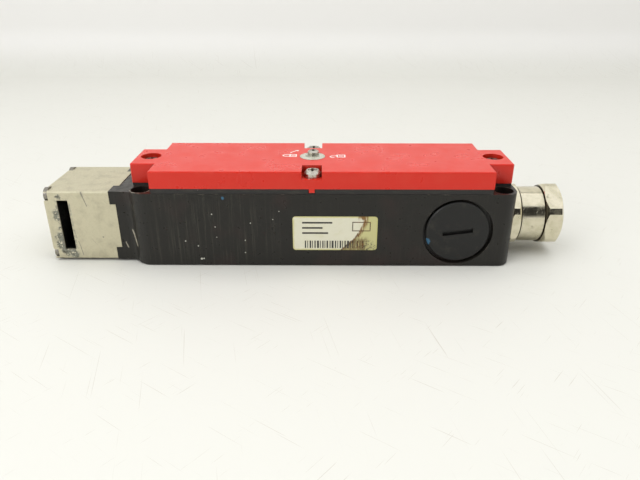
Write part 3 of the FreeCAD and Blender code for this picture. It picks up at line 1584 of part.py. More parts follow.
def build_plug(side, sign):
    """Slotted blanking plug with its flat seal, on the near or the far side."""

    def along(name, start, end, radius):
        low = start if sign == "1" else f"-{end}"
        return rod(name, "y", ("entry_place", low, "entry_height"), f"{end} - {start}", radius)

    bevel_start = f"({PLUG_FACE} - plug_bevel)"
    flange = along(f"plug_flange_{side}", PLUG_SEAT, bevel_start, "plug_radius")
    bevel = cone(
        f"plug_rim_{side}",
        "y",
        ("entry_place", bevel_start if sign == "1" else f"-{PLUG_FACE}", "entry_height"),
        "plug_bevel",
        "plug_radius" if sign == "1" else "plug_radius - plug_bevel",
        "plug_radius - plug_bevel" if sign == "1" else "plug_radius",
    )
    spigot = along(f"plug_spigot_{side}", ENTRY_INNER, PLUG_SEAT, "entry_radius")
    slot = DOC.addObject("Part::Box", f"plug_slot_{side}")
    turn = FreeCAD.Rotation(FreeCAD.Vector(0, -1, 0), 1)
    slot.Placement = FreeCAD.Placement(FreeCAD.Vector(), turn)
    slot.setExpression("Placement.Rotation.Angle", bound("plug_slot_angle"))
    slot.setExpression("Length", bound("plug_slot_length"))
    slot.setExpression("Width", bound("plug_slot_depth"))
    slot.setExpression("Height", bound("plug_slot_width"))
    half = "plug_slot_length / 2"
    rise = "plug_slot_width / 2"
    place(
        slot,
        (
            f"entry_place - {half} * cos(plug_slot_angle) + {rise} * sin(plug_slot_angle)",
            f"{PLUG_FACE} - plug_slot_depth" if sign == "1" else f"-{PLUG_FACE}",
            f"entry_height - {half} * sin(plug_slot_angle) - {rise} * cos(plug_slot_angle)",
        ),
    )
    label = f"blanking_plug_{side}"
    node(cut(label, join(f"plug_solid_{side}", [flange, bevel, spigot]), [slot]), label)
    start = ENTRY_FLOOR if sign == "1" else f"-{PLUG_SEAT}"
    seal = ring(
        f"plug_seal_{side}",
        "y",
        ("entry_place", start, "entry_height"),
        "plug_seal_thickness",
        "plug_seal_radius",
        "entry_radius",
    )
    node(seal, f"plug_seal_{side}")


def hexagon(name, start, length):
    """Hexagonal bar along X with turned corners, bevelled at both ends."""
    prism = DOC.addObject("Part::Prism", f"{name}_prism")
    prism.Polygon = 6
    prism.setExpression("Circumradius", bound("gland_across_flats / sqrt(3)"))
    prism.setExpression("Height", bound(length))
    lie_down = FreeCAD.Rotation(FreeCAD.Vector(0, 1, 0), 90)
    turn = FreeCAD.Rotation(FreeCAD.Vector(1, 0, 0), number("gland_turn"))
    prism.Placement = FreeCAD.Placement(FreeCAD.Vector(), turn.multiply(lie_down))
    place(prism, (start, "0", "entry_height"))
    middle = rod(
        f"{name}_turning",
        "x",
        (f"{start} + gland_nut_bevel", "0", "entry_height"),
        f"{length} - 2 * gland_nut_bevel",
        "gland_corner_radius",
    )
    face = "gland_across_flats / 2 - gland_face_step"
    left = cone(
        f"{name}_left", "x", (start, "0", "entry_height"), "gland_nut_bevel", face, "gland_corner_radius"
    )
    right = cone(
        f"{name}_right",
        "x",
        (f"{start} + {length} - gland_nut_bevel", "0", "entry_height"),
        "gland_nut_bevel",
        "gland_corner_radius",
        face,
    )
    return common(name, prism, join(f"{name}_envelope", [left, middle, right]))


def build_gland():
    axis = ("0", "entry_height")
    washer = ring(
        "gland_washer",
        "x",
        (HALF_LENGTH, *axis),
        "gland_washer_thickness",
        "gland_washer_radius",
        "entry_radius",
    )
    node(washer, "gland_washer")
    spigot_left = f"({HALF_LENGTH} - gland_spigot_length)"
    solids = [
        rod("gland_spigot", "x", (spigot_left, *axis), f"{GLAND_BASE} - {spigot_left}", "entry_radius"),
        hexagon("gland_base", GLAND_BASE, "gland_base_length"),
        rod("gland_neck", "x", (GLAND_NECK, *axis), "gland_neck_gap", "gland_neck_radius"),
        rod("gland_barrel", "x", (GLAND_BARREL, *axis), "gland_barrel_length", "gland_barrel_radius"),
        rod("gland_thread", "x", (GLAND_SHOULDER, *axis), "gland_thread_length", "gland_thread_radius"),
    ]
    seal_left = f"({GLAND_TIP} - gland_seal_length)"
    tools = [
        rod("gland_bore", "x", (spigot_left, *axis), f"{GLAND_TIP} - {spigot_left}", "gland_bore_radius"),
        rod("gland_seal_seat", "x", (seal_left, *axis), "gland_seal_length", "gland_seal_radius"),
    ]
    node(cut("gland_body", join("gland_solid", solids), tools), "gland_body")
    seal = ring(
        "gland_seal",
        "x",
        (seal_left, *axis),
        "gland_seal_length",
        "gland_seal_radius",
        "gland_bore_radius",
    )
    node(seal, "gland_seal")
    nut_tools = [
        rod("nut_thread", "x", (NUT_LEFT, *axis), f"{GLAND_TIP} - {NUT_LEFT}", "gland_thread_radius"),
        rod("nut_opening", "x", (NUT_LEFT, *axis), "gland_nut_length", "gland_nut_opening"),
    ]
    node(cut("gland_nut", hexagon("nut_blank", NUT_LEFT, "gland_nut_length"), nut_tools), "gland_nut")


build_housing()
build_cover_gasket()
build_cover()
build_cover_screws()
build_release()
build_head_casing()
build_head_fittings()
build_cam_wheel()
build_bolt()
build_solenoid()
build_guide_block()
build_follower()
build_contact_block()
for plug_side, plug_sign in MIRROR:
    build_plug(plug_side, plug_sign)
build_gland()

DOC.recompute()

for item in DOC.Objects:
    if "Invalid" in item.State or "Error" in item.State:
        raise ValueError(f"{item.Label} did not build")
for piece in nodes:
    if piece.Shape.isNull() or not piece.Shape.isValid():
        raise ValueError(f"{piece.Label} has no valid shape")

os.makedirs("parts", exist_ok=True)
for piece in nodes:
    piece.Shape.exportStep(f"parts/{piece.Label}.step")
    print(f"{piece.Label}: {len(piece.Shape.Solids)} solids, {piece.Shape.Volume:.1f} mm3")
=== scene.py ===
import math

import bmesh
import bpy
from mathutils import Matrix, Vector


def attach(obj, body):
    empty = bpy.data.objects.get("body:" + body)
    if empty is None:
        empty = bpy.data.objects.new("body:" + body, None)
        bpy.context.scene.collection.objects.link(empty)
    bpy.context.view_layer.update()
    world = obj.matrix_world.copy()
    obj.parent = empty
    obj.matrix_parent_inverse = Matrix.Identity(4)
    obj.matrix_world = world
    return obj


# Looks of the interlock switch. Lengths are metres in the part's own frame: +X towards the cable
# gland, -Y the side with the rating label, +Z up, origin between the mounting holes.

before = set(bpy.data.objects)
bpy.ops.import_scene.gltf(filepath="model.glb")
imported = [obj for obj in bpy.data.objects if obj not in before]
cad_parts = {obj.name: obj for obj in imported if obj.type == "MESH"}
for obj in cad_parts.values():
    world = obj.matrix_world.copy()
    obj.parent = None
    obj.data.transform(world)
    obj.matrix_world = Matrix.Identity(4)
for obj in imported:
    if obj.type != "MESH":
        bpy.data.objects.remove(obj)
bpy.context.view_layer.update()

MM = 0.001

# Camera, solved from the photograph

CAMERA_PLACE = (0.9 * MM, -229.1 * MM, 109.3 * MM)
CAMERA_PITCH = 25.06
CAMERA_YAW = 0.41
CAMERA_LENS = 32.82
CAMERA_SENSOR = 36
CAMERA_CLIP_START = 0.01

# Colours, linear

COATING = (0.013, 0.0120, 0.0098, 1)
COATING_DUSTY = (0.050, 0.045, 0.036, 1)
COATING_TINT = (0.028, 0.016, 0.014, 1)
COATING_RUBBED = (0.052, 0.050, 0.037, 1)
SPECK = (0.66, 0.66, 0.58, 1)
BARE_METAL = (0.42, 0.38, 0.30, 1)
RED = (0.64, 0.014, 0.002, 1)
RED_WORN = (0.64, 0.045, 0.022, 1)
NICKEL_CAST = (0.60, 0.56, 0.41, 1)
NICKEL_STAIN = (0.30, 0.27, 0.19, 1)
NICKEL_BRIGHT = (0.72, 0.67, 0.52, 1)
ZINC = (0.56, 0.54, 0.48, 1)
ZINC_BRIGHT = (0.76, 0.76, 0.66, 1)
ZINC_DULL = (0.27, 0.255, 0.225, 1)
# brown of dirt, also painted as shade in corners, joints and recesses
DIRT_AND_SHADE = (0.045, 0.030, 0.014, 1)
RUBBER = (0.018, 0.017, 0.016, 1)
PLUG_PLASTIC = (0.011, 0.011, 0.0105, 1)
# near-black painted as shade deep in the head's slot
SLOT_SHADE_BLACK = (0.003, 0.003, 0.0028, 1)
PAINT_BLUE = (0.035, 0.12, 0.21, 1)
WHITE_INK = (0.83, 0.80, 0.76, 1)
STEEL = (0.40, 0.39, 0.37, 1)
STEEL_DARK = (0.22, 0.21, 0.19, 1)
PEENED = (0.22, 0.23, 0.195, 1)
WHITE_PLASTIC = (0.70, 0.68, 0.60, 1)
COPPER = (0.50, 0.17, 0.06, 1)
# copper painted as shade between the coil's turns
COPPER_SHADE = (0.20, 0.06, 0.02, 1)
BRASS = (0.62, 0.43, 0.16, 1)
LABEL_CREAM = (0.74, 0.72, 0.57, 1)
LABEL_EDGE = (0.62, 0.58, 0.25, 1)
LABEL_FADED = (0.54, 0.51, 0.20, 1)
LABEL_STAIN = (0.20, 0.085, 0.006, 1)
LABEL_BURN = (0.055, 0.034, 0.010, 1)
LABEL_INK = (0.035, 0.033, 0.028, 1)
FLOOR = (0.695, 0.693, 0.650, 1)
BACKDROP = (0.855, 0.848, 0.83, 1)
FLOOR_MARK = (0.33, 0.28, 0.20, 1)


# Patterns: shares of a mark's own size, soft edges of a noise, and rays for rims and corners

SPECK_CORE = 0.5
SPECK_CLUMP = 2.3
SPECK_EDGE = 0.03
SCRATCH_EDGE = 0.05
SPOT_RAGGED = 0.8
STROKE_RAGGED = 0.35
STROKE_CORE = 0.3
SHADE_SAMPLES = 4


class Finish:
    """A procedural material. Its patterns are laid out in the part's own frame, in millimetres."""

    def __init__(self, name):
        self.material = bpy.data.materials.new(name)
        self.material.use_nodes = True
        self.nodes = self.material.node_tree.nodes
        self.links = self.material.node_tree.links
        self.shader = self.nodes["Principled BSDF"]
        place = self.nodes.new("ShaderNodeTexCoord")
        scale = self.nodes.new("ShaderNodeVectorMath")
        scale.operation = "SCALE"
        scale.inputs["Scale"].default_value = 1 / MM
        self.links.new(place.outputs["Object"], scale.inputs[0])
        self.place = scale.outputs[0]
        split = self.nodes.new("ShaderNodeSeparateXYZ")
        self.links.new(self.place, split.inputs[0])
        self.x, self.y, self.z = split.outputs
        geometry = self.nodes.new("ShaderNodeNewGeometry")
        facing = self.nodes.new("ShaderNodeSeparateXYZ")
        self.links.new(geometry.outputs["Normal"], facing.inputs[0])
        self.facing_x, self.facing_y, self.facing_z = facing.outputs
        self.normal = geometry.outputs["Normal"]
        self.height = None

    def join(self, socket, value):
        """Sets a socket, or links another node's output to it."""
        if isinstance(value, (int, float, tuple)):
            socket.default_value = value
        else:
            self.links.new(value, socket)

    def math(self, operation, first, second=0.0, clamp=False):
        step = self.nodes.new("ShaderNodeMath")
        step.operation = operation
        step.use_clamp = clamp
        self.join(step.inputs[0], first)
        self.join(step.inputs[1], second)
        return step.outputs[0]

    def ramp(self, value, low, high, top=1.0):
        """Rises from nothing at low to top at high."""
        step = self.nodes.new("ShaderNodeMapRange")
        step.interpolation_type = "SMOOTHSTEP"
        self.join(step.inputs["Value"], value)
        step.inputs["From Min"].default_value = low
        step.inputs["From Max"].default_value = high
        step.inputs["To Min"].default_value = 0.0
        step.inputs["To Max"].default_value = top
        return step.outputs[0]

    def times(self, *values):
        """The product of all the values."""
        result = values[0]
        for value in values[1:]:
            result = self.math("MULTIPLY", result, value)
        return result

    def most(self, *values):
        """The largest of the values."""
        result = values[0]
        for value in values[1:]:
            result = self.math("MAXIMUM", result, value)
        return result

    def stretched(self, stretch, shift=(0, 0, 0), turn=(0, 0, 0)):
        """The place, turned first and then stretched along the turned axes."""
        turning = self.nodes.new("ShaderNodeMapping")
        turning.inputs["Rotation"].default_value = tuple(math.radians(angle) for angle in turn)
        self.links.new(self.place, turning.inputs["Vector"])
        mapping = self.nodes.new("ShaderNodeMapping")
        mapping.inputs["Scale"].default_value = stretch
        mapping.inputs["Location"].default_value = shift
        self.links.new(turning.outputs[0], mapping.inputs["Vector"])
        return mapping.outputs[0]

    def noise(self, size, detail=3.0, stretch=(1, 1, 1), shift=(0, 0, 0), turn=(0, 0, 0), rough=0.55):
        """Cloudy pattern with features about size millimetres wide."""
        step = self.nodes.new("ShaderNodeTexNoise")
        step.inputs["Scale"].default_value = 1.0 / size
        step.inputs["Detail"].default_value = detail
        step.inputs["Roughness"].default_value = rough
        self.links.new(self.stretched(stretch, shift, turn), step.inputs["Vector"])
        return step.outputs["Fac"]

    def cells(self, size, stretch=(1, 1, 1), shift=(0, 0, 0)):
        """Distance from the middle of scattered cells about size millimetres wide."""
        step = self.nodes.new("ShaderNodeTexVoronoi")
        step.feature = "F1"
        step.inputs["Scale"].default_value = 1.0 / size
        self.links.new(self.stretched(stretch, shift), step.inputs["Vector"])
        return step.outputs["Distance"]

    def specks(self, size, radius, share, shift=(0, 0, 0)):
        """Sparse dots of a radius, in a share of the cells."""
        from_middle = self.math("MULTIPLY", self.cells(size, shift=shift), size)
        dots = self.ramp(from_middle, radius, radius * SPECK_CORE)
        clumps = self.noise(size * SPECK_CLUMP, detail=1.0, shift=shift)
        chosen = self.ramp(clumps, 1 - share, 1 - share + SPECK_EDGE)
        return self.times(dots, chosen)

    def scratches(self, length, width, share, turn, shift=(0, 0, 0)):
        """Fine lines that run across a turned direction and break up along their length."""
        turned = self.stretched((1 / length, 1 / width, 1 / length), shift, turn)
        lines = self.nodes.new("ShaderNodeTexNoise")
        lines.inputs["Scale"].default_value = 1.0
        lines.inputs["Detail"].default_value = 2.0
        self.links.new(turned, lines.inputs["Vector"])
        return self.ramp(lines.outputs["Fac"], 1 - share, 1 - share + SCRATCH_EDGE)

    def spot(self, centre, radius, soft, wobble):
        """One soft, uneven blot about a place; an axis left None doesn't count."""
        total = None
        for axis, middle in zip((self.x, self.y, self.z), centre):
            if middle is not None:
                gap = self.math("SUBTRACT", axis, middle)
                square = self.math("MULTIPLY", gap, gap)
                total = square if total is None else self.math("ADD", total, square)
        distance = self.math("SQRT", total)
        shake = self.math("SUBTRACT", self.noise(radius * SPOT_RAGGED, detail=4.0), 0.5)
        distance = self.math("ADD", distance, self.math("MULTIPLY", shake, wobble * 2))
        return self.ramp(distance, radius, radius * (1 - soft))

    def band(self, value, low, high, soft):
        """One between low and high, falling off over soft."""
        rise = self.ramp(value, low - soft, low + soft)
        fall = self.ramp(value, high + soft, high - soft)
        return self.times(rise, fall)

    def stroke(self, start, end, width, wobble):
        """One scratch between two places (x, z) on an upright face."""
        run = (end[0] - start[0], end[1] - start[1])
        length = math.hypot(*run)
        along = (run[0] / length, run[1] / length)
        gap_a = self.math("SUBTRACT", self.x, start[0])
        gap_b = self.math("SUBTRACT", self.z, start[1])
        forward = self.math(
            "ADD", self.math("MULTIPLY", gap_a, along[0]), self.math("MULTIPLY", gap_b, along[1])
        )
        aside = self.math(
            "SUBTRACT", self.math("MULTIPLY", gap_a, along[1]), self.math("MULTIPLY", gap_b, along[0])
        )
        shake = self.math("SUBTRACT", self.noise(length * STROKE_RAGGED, detail=3.0), 0.5)
        aside = self.math("ADD", aside, self.math("MULTIPLY", shake, wobble * 2))
        line = self.ramp(self.math("ABSOLUTE", aside), width, width * STROKE_CORE)
        return self.times(line, self.band(forward, 0, length, width))

    def edges(self, radius, low=0.03, high=0.25):
        """Where the surface bends sharply: rims, corners and recess edges."""
        bevel = self.nodes.new("ShaderNodeBevel")
        bevel.samples = SHADE_SAMPLES
        bevel.inputs["Radius"].default_value = radius * MM
        dot = self.nodes.new("ShaderNodeVectorMath")
        dot.operation = "DOT_PRODUCT"
        self.links.new(bevel.outputs[0], dot.inputs[0])
        self.links.new(self.normal, dot.inputs[1])
        bend = self.math("SUBTRACT", 1.0, dot.outputs["Value"])
        return self.ramp(bend, low, high)

    def crevices(self, reach, low=0.55, high=0.95):
        """Where close surfaces shut out the light, such as corners and joints."""
        shade = self.nodes.new("ShaderNodeAmbientOcclusion")
        shade.samples = SHADE_SAMPLES
        shade.inputs["Distance"].default_value = reach * MM
        return self.ramp(shade.outputs["AO"], high, low)

    def blend(self, base, over, amount):
        """One colour over another by an amount."""
        mix = self.nodes.new("ShaderNodeMix")
        mix.data_type = "RGBA"
        self.join(mix.inputs["Factor"], amount)
        self.join(mix.inputs["A"], base)
        self.join(mix.inputs["B"], over)
        return mix.outputs["Result"]

    def level(self, low, high, amount):
        """A number that runs from low to high with the amount."""
        step = self.nodes.new("ShaderNodeMapRange")
        self.join(step.inputs["Value"], amount)
        step.inputs["To Min"].default_value = low
        step.inputs["To Max"].default_value = high
        return step.outputs[0]

    def bump(self, value, depth):
        """Relief of a depth in millimetres, added to what is there."""
        raised = self.math("MULTIPLY", value, depth)
        self.height = raised if self.height is None else self.math("ADD", self.height, raised)

    def done(self, color, roughness, metallic=0.0, gloss=0.5):
        """Joins the look to the shader and gives back the material."""
        self.shader.inputs["Specular IOR Level"].default_value = gloss
        self.join(self.shader.inputs["Base Color"], color)
        self.join(self.shader.inputs["Roughness"], roughness)
        self.join(self.shader.inputs["Metallic"], metallic)
        if self.height is not None:
            bump = self.nodes.new("ShaderNodeBump")
            bump.inputs["Strength"].default_value = 1.0
            bump.inputs["Distance"].default_value = MM
            self.links.new(self.height, bump.inputs["Height"])
            self.links.new(bump.outputs[0], self.shader.inputs["Normal"])
        return self.material


# Finishes. The placed marks are in millimetres, where the photograph shows them.

NEAR_SPECKS = (  # x, z, radius
    (-42.7, 22.4, 0.30),
    (-41.7, 17.0, 0.26),
    (-41.4, 12.6, 0.24),
    (-53.9, 10.9, 0.34),
    (-49.0, 8.8, 0.32),
    (-27.8, 18.7, 0.28),
    (-30.2, 11.3, 0.28),
    (-30.4, 5.9, 0.30),
    (-48.1, 3.1, 0.55),
    (-47.2, 3.2, 0.40),
    (-19.0, 20.3, 0.24),
    (-16.5, 23.7, 0.24),
)
NEAR_RUBBED = (-62, -25)  # from and to, along x
BORE_RIM_CENTRE = (70.8, 15.0)  # towards -x and -y
BORE_RIM_RADII = (3.7, 4.1)
BORE_RIM_LEVEL = (30.2, 30.5)
NECK_STROKES = (  # start (x, z), end (x, z), width, wobble
    ((-75.6, 14.2), (-74.0, 7.4), 0.42, 0.4),
    ((-79.2, 8.6), (-78.4, 6.0), 0.3, 0.3),
)
HOUSING_FLECK = (-38.0, None, 29.1)
HOUSING_FLECK_RADIUS = 0.75


def coated_casting():
    """Warm black coating with brushed streaks, pale specks and chips down to the metal."""
    look = Finish("coated_casting")
    streaks = look.noise(1.0, detail=4.0, stretch=(1, 1, 0.035), rough=0.7)
    clouds = look.noise(14.0, detail=4.0)
    tint = look.ramp(look.noise(17.0, detail=2.0, shift=(3, 9, 4)), 0.5, 0.75, 0.7)
    color = look.blend(COATING, COATING_TINT, tint)
    dust = look.times(look.ramp(streaks, 0.45, 0.85), look.ramp(clouds, 0.35, 0.7), 0.55)
    left_wear = look.band(look.x, *NEAR_RUBBED, 12)
    near_side = look.ramp(look.facing_y, -0.5, -0.9)
    rubbed = look.times(near_side, left_wear, look.ramp(streaks, 0.50, 0.72), 0.8)
    upward = look.times(look.ramp(look.facing_z, 0.5, 0.9), look.ramp(clouds, 0.3, 0.75), 0.5)
    color = look.blend(color, COATING_DUSTY, look.most(dust, upward))
    color = look.blend(color, COATING_RUBBED, rubbed)
    marks = [look.spot((x, None, z), radius, 0.5, 0.12) for x, z, radius in NEAR_SPECKS]
    pale = look.times(look.most(*marks), near_side)
    color = look.blend(color, SPECK, look.times(pale, 0.85))
    chips = look.most(
        look.times(look.specks(4.2, 0.26, 0.30), near_side, look.band(look.x, -60, -12, 6)),
        look.specks(11.0, 0.3, 0.3, shift=(31, 7, 3)),
    )
    edge_wear = look.times(look.edges(0.4), look.ramp(look.noise(3.0, detail=5.0), 0.54, 0.68), 0.4)
    from_bore = look.math("SQRT", look.math(
        "ADD",
        look.math("POWER", look.math("ADD", look.x, BORE_RIM_CENTRE[0]), 2.0),
        look.math("POWER", look.math("ADD", look.y, BORE_RIM_CENTRE[1]), 2.0),
    ))
    rim = look.times(
        look.band(from_bore, *BORE_RIM_RADII, 0.12),
        look.ramp(look.z, *BORE_RIM_LEVEL),
        look.ramp(look.noise(2.0, detail=4.0, shift=(2, 5, 1)), 0.38, 0.55),
        look.ramp(look.y, -15.5, -17.0),
    )
    neck_chips = look.most(*[look.stroke(*chip) for chip in NECK_STROKES])
    neck_marks = look.times(neck_chips, look.ramp(look.facing_y, -0.1, -0.4), 0.8)
    bare = look.most(look.times(chips, 0.8), edge_wear, rim, neck_marks)
    color = look.blend(color, BARE_METAL, bare)
    fleck = look.times(look.spot(HOUSING_FLECK, HOUSING_FLECK_RADIUS, 0.5, 0.3), near_side)
    color = look.blend(color, PAINT_BLUE, fleck)
    roughness = look.level(0.27, 0.46, look.ramp(look.noise(2.2, detail=4.0), 0.3, 0.75))
    look.bump(look.noise(0.55, detail=2.0), 0.006)
    look.bump(look.noise(2.4, detail=3.0, stretch=(1, 1, 0.2)), 0.006)
    look.bump(bare, -0.012)
    return look.done(color, roughness, gloss=0.34)


def red_moulding():
    """Red moulded plastic: fine mould grain, handling marks, dirt and painted shade in the notches."""
    look = Finish("red_moulding")
    clouds = look.noise(9.0, detail=4.0)
    color = look.blend(RED, RED_WORN, look.ramp(clouds, 0.42, 0.78, 0.35))
    rim = look.times(look.edges(0.35), look.ramp(look.noise(2.5, detail=4.0), 0.42, 0.7), 0.75)
    color = look.blend(color, RED_WORN, rim)
    fine = look.most(
        look.scratches(14.0, 0.12, 0.30, (0, 0, 12)),
        look.scratches(9.0, 0.10, 0.29, (0, 0, -38), (5, 2, 0)),
    )
    color = look.blend(color, RED_WORN, look.times(fine, 0.4))
    # dirt and painted shade: brown where ambient occlusion finds corners and notches
    grime_and_shade = look.times(look.crevices(2.0), look.ramp(look.noise(1.2, detail=5.0), 0.35, 0.7), 0.8)
    color = look.blend(color, DIRT_AND_SHADE, grime_and_shade)
    color = look.blend(color, DIRT_AND_SHADE, look.times(look.specks(7.0, 0.22, 0.36), 0.7))
    roughness = look.level(0.26, 0.40, look.most(look.ramp(clouds, 0.3, 0.7), fine))
    look.bump(look.noise(0.35, detail=2.0), 0.004)
    look.bump(look.noise(12.0, detail=1.0), 0.03)
    look.bump(fine, -0.002)
    return look.done(color, roughness, gloss=0.5)


HEAD_BLOWS = (  # x, z, radius, softness, unevenness
    (-105.3, 21.0, 1.8, 0.5, 1.2),
    (-105.2, 18.8, 1.8, 0.5, 1.2),
    (-104.9, 14.4, 1.0, 0.5, 0.6),
    (-105.4, 10.6, 2.4, 0.5, 1.6),
    (-105.8, 7.2, 2.7, 0.5, 1.6),
    (-104.2, 4.2, 2.3, 0.5, 1.6),
    (-101.0, 3.0, 2.4, 0.5, 1.6),
    (-103.4, 28.0, 1.1, 0.6, 1.4),
)
HEAD_STROKES = (  # start (x, z), end (x, z), width, wobble
    ((-94.2, 30.1), (-93.6, 27.6), 0.42, 0.15),
    ((-93.8, 28.2), (-92.6, 23.8), 0.26, 0.2),
    ((-98.4, 8.8), (-97.3, 2.4), 0.20, 0.25),
    ((-99.2, 13.6), (-98.8, 10.0), 0.14, 0.2),
)
HEAD_PIT = (-88.1, None, 10.6)
HEAD_PIT_RADIUS = 0.42
SLOT_LIP_X = (-105.0, -99.2)
SLOT_LIP_Z = (4.6, 27.0)
# the slot's interior, where its walls are painted black as shade
SLOT_INSIDE_X = (-104.7, -99.5)
SLOT_INSIDE_Z = (4.8, 26.7)
SLOT_INSIDE_DEPTH = (15.7, 14.9)  # starts behind the face, and is full at the second


def worn_nickel():
    """Plated casting of the head: matt beige metal, stained, peened round the slot and scratched."""
    look = Finish("worn_nickel")
    clouds = look.noise(5.0, detail=5.0)
    grain = look.noise(0.7, detail=3.0)
    color = look.blend(NICKEL_CAST, NICKEL_STAIN, look.ramp(clouds, 0.45, 0.8, 0.45))
    near_side = look.ramp(look.facing_y, -0.4, -0.9)
    dents = look.cells(1.6, stretch=(1, 1, 0.8))
    blows = look.most(*[
        look.spot((x, None, z), radius, soft, wobble)
        for x, z, radius, soft, wobble in HEAD_BLOWS
    ])
    ragged = look.noise(0.9, detail=5.0, rough=0.65)
    blows = look.times(blows, near_side, look.ramp(ragged, 0.26, 0.38))
    color = look.blend(color, PEENED, look.times(blows, 0.9))
    color = look.blend(color, DIRT_AND_SHADE, look.times(blows, look.ramp(ragged, 0.50, 0.40), 0.5))
    color = look.blend(color, DIRT_AND_SHADE, look.times(blows, look.ramp(dents, 0.4, 0.12), 0.5))
    glints = look.ramp(look.noise(0.8, detail=3.0, shift=(4, 1, 7)), 0.57, 0.64)
    color = look.blend(color, NICKEL_BRIGHT, look.times(blows, glints))
    slot_lip = look.times(
        near_side,
        look.band(look.x, *SLOT_LIP_X, 0.35),
        look.band(look.z, *SLOT_LIP_Z, 0.35),
        look.ramp(look.noise(1.4, detail=4.0), 0.42, 0.6),
    )
    color = look.blend(color, STEEL_DARK, look.times(slot_lip, 0.6))
    strokes = look.most(*[look.stroke(*scratch) for scratch in HEAD_STROKES])
    pit = look.spot(HEAD_PIT, HEAD_PIT_RADIUS, 0.5, 0.2)
    scored = look.most(
        look.times(look.most(strokes, pit), near_side),
        look.times(look.scratches(7.0, 0.16, 0.31, (0, 35, 90)), 0.45),
        look.times(look.scratches(10.0, 0.14, 0.30, (0, 0, 65), (3, 1, 0)), 0.45),
    )
    color = look.blend(color, STEEL_DARK, look.times(scored, 0.8))
    # dirt and painted shade: brown where ambient occlusion finds corners and joints
    grime_and_shade = look.times(look.crevices(1.6), look.ramp(look.noise(1.0, detail=4.0), 0.3, 0.6), 0.85)
    color = look.blend(color, DIRT_AND_SHADE, grime_and_shade)
    spots = look.specks(3.2, 0.24, 0.4, shift=(9, 4, 1))
    color = look.blend(color, DIRT_AND_SHADE, look.times(spots, 0.65))
    # painted shade: the slot's walls turn black beyond a depth, where shade falls
    depth = look.ramp(look.math("ABSOLUTE", look.y), *SLOT_INSIDE_DEPTH)
    painted_slot_shade = look.times(
        depth, look.band(look.x, *SLOT_INSIDE_X, 0.1), look.band(look.z, *SLOT_INSIDE_Z, 0.1)
    )
    color = look.blend(color, SLOT_SHADE_BLACK, painted_slot_shade)
    roughness = look.level(0.36, 0.60, look.most(look.ramp(grain, 0.35, 0.7), blows))
    look.bump(grain, 0.02)
    look.bump(look.times(blows, look.most(ragged, look.ramp(dents, 0.1, 0.7))), 0.2)
    look.bump(scored, -0.04)
    look.bump(look.times(slot_lip, grain), -0.1)
    metallic = look.level(0.75, 0.2, look.most(grime_and_shade, painted_slot_shade))
    return look.done(color, roughness, metallic)


GLAND_GROOVES = ((80.6, 81.25), (90.2, 90.7))  # from and to, along x


def turned_nickel():
    """Bright nickel plate of the gland with lathe rings, and brown dirt and painted shade in the
    corners and grooves.
    """
    look = Finish("turned_nickel")
    rings = look.noise(0.28, detail=1.0, stretch=(1, 0.02, 0.02))
    clouds = look.noise(4.0, detail=4.0)
    color = look.blend(NICKEL_BRIGHT, NICKEL_CAST, look.ramp(clouds, 0.35, 0.75))
    # dirt and painted shade: brown where ambient occlusion finds corners, and along the grooves
    corners = look.crevices(1.4, 0.45, 0.95)
    grime_and_shade = look.times(corners, look.ramp(look.noise(1.1, detail=4.0), 0.3, 0.62))
    grooves = look.most(*[look.band(look.x, *groove, 0.06) for groove in GLAND_GROOVES])
    grime_and_shade = look.most(grime_and_shade, grooves)
    smear = look.times(look.ramp(look.noise(2.6, detail=4.0, shift=(4, 8, 2)), 0.62, 0.76), 0.4)
    color = look.blend(color, DIRT_AND_SHADE, look.most(grime_and_shade, smear))
    marks = look.scratches(5.0, 0.12, 0.31, (40, 0, 20))
    color = look.blend(color, STEEL_DARK, look.times(marks, 0.5))
    roughness = look.level(0.12, 0.32, look.most(look.ramp(clouds, 0.35, 0.8), marks, smear))
    look.bump(rings, 0.012)
    look.bump(marks, -0.015)
    metallic = look.level(1.0, 0.35, grime_and_shade)
    return look.done(color, roughness, metallic)


def plated_screw(name, plating):
    """Zinc-plated screw heads, darkened brown in the recess as painted shade."""
    look = Finish(name)
    grain = look.noise(0.5, detail=4.0)
    color = look.blend(plating, NICKEL_STAIN, look.ramp(grain, 0.45, 0.75, 0.6))
    # painted shade: brown darkening where ambient occlusion finds the recess
    grime_and_shade = look.times(look.crevices(0.9, 0.35, 0.9), 0.9)
    color = look.blend(color, DIRT_AND_SHADE, grime_and_shade)
    worn = look.edges(0.15)
    color = look.blend(color, ZINC, look.times(worn, 0.5))
    roughness = look.level(0.22, 0.45, look.ramp(grain, 0.35, 0.7))
    look.bump(grain, 0.012)
    return look.done(color, roughness, look.level(1.0, 0.3, grime_and_shade))


def seal_rubber():
    """Dull black rubber dusted grey, with pale specks that are partly dust and partly painted glints.
    """
    look = Finish("seal_rubber")
    clouds = look.noise(2.0, detail=4.0, stretch=(0.3, 1, 1))
    color = look.blend(RUBBER, COATING_DUSTY, look.ramp(clouds, 0.42, 0.75, 0.6))
    # pale specks: dust, together with painted glints of light
    lint_and_glints = look.specks(2.6, 0.16, 0.42, shift=(2, 3, 5))
    color = look.blend(color, ZINC, look.times(lint_and_glints, 0.5))
    look.bump(look.noise(0.4, detail=3.0), 0.015)
    return look.done(color, look.level(0.55, 0.8, clouds))


PLUG_DAB = (41.7, -19.7, 11.0)
PLUG_DAB_RADIUS = 1.5


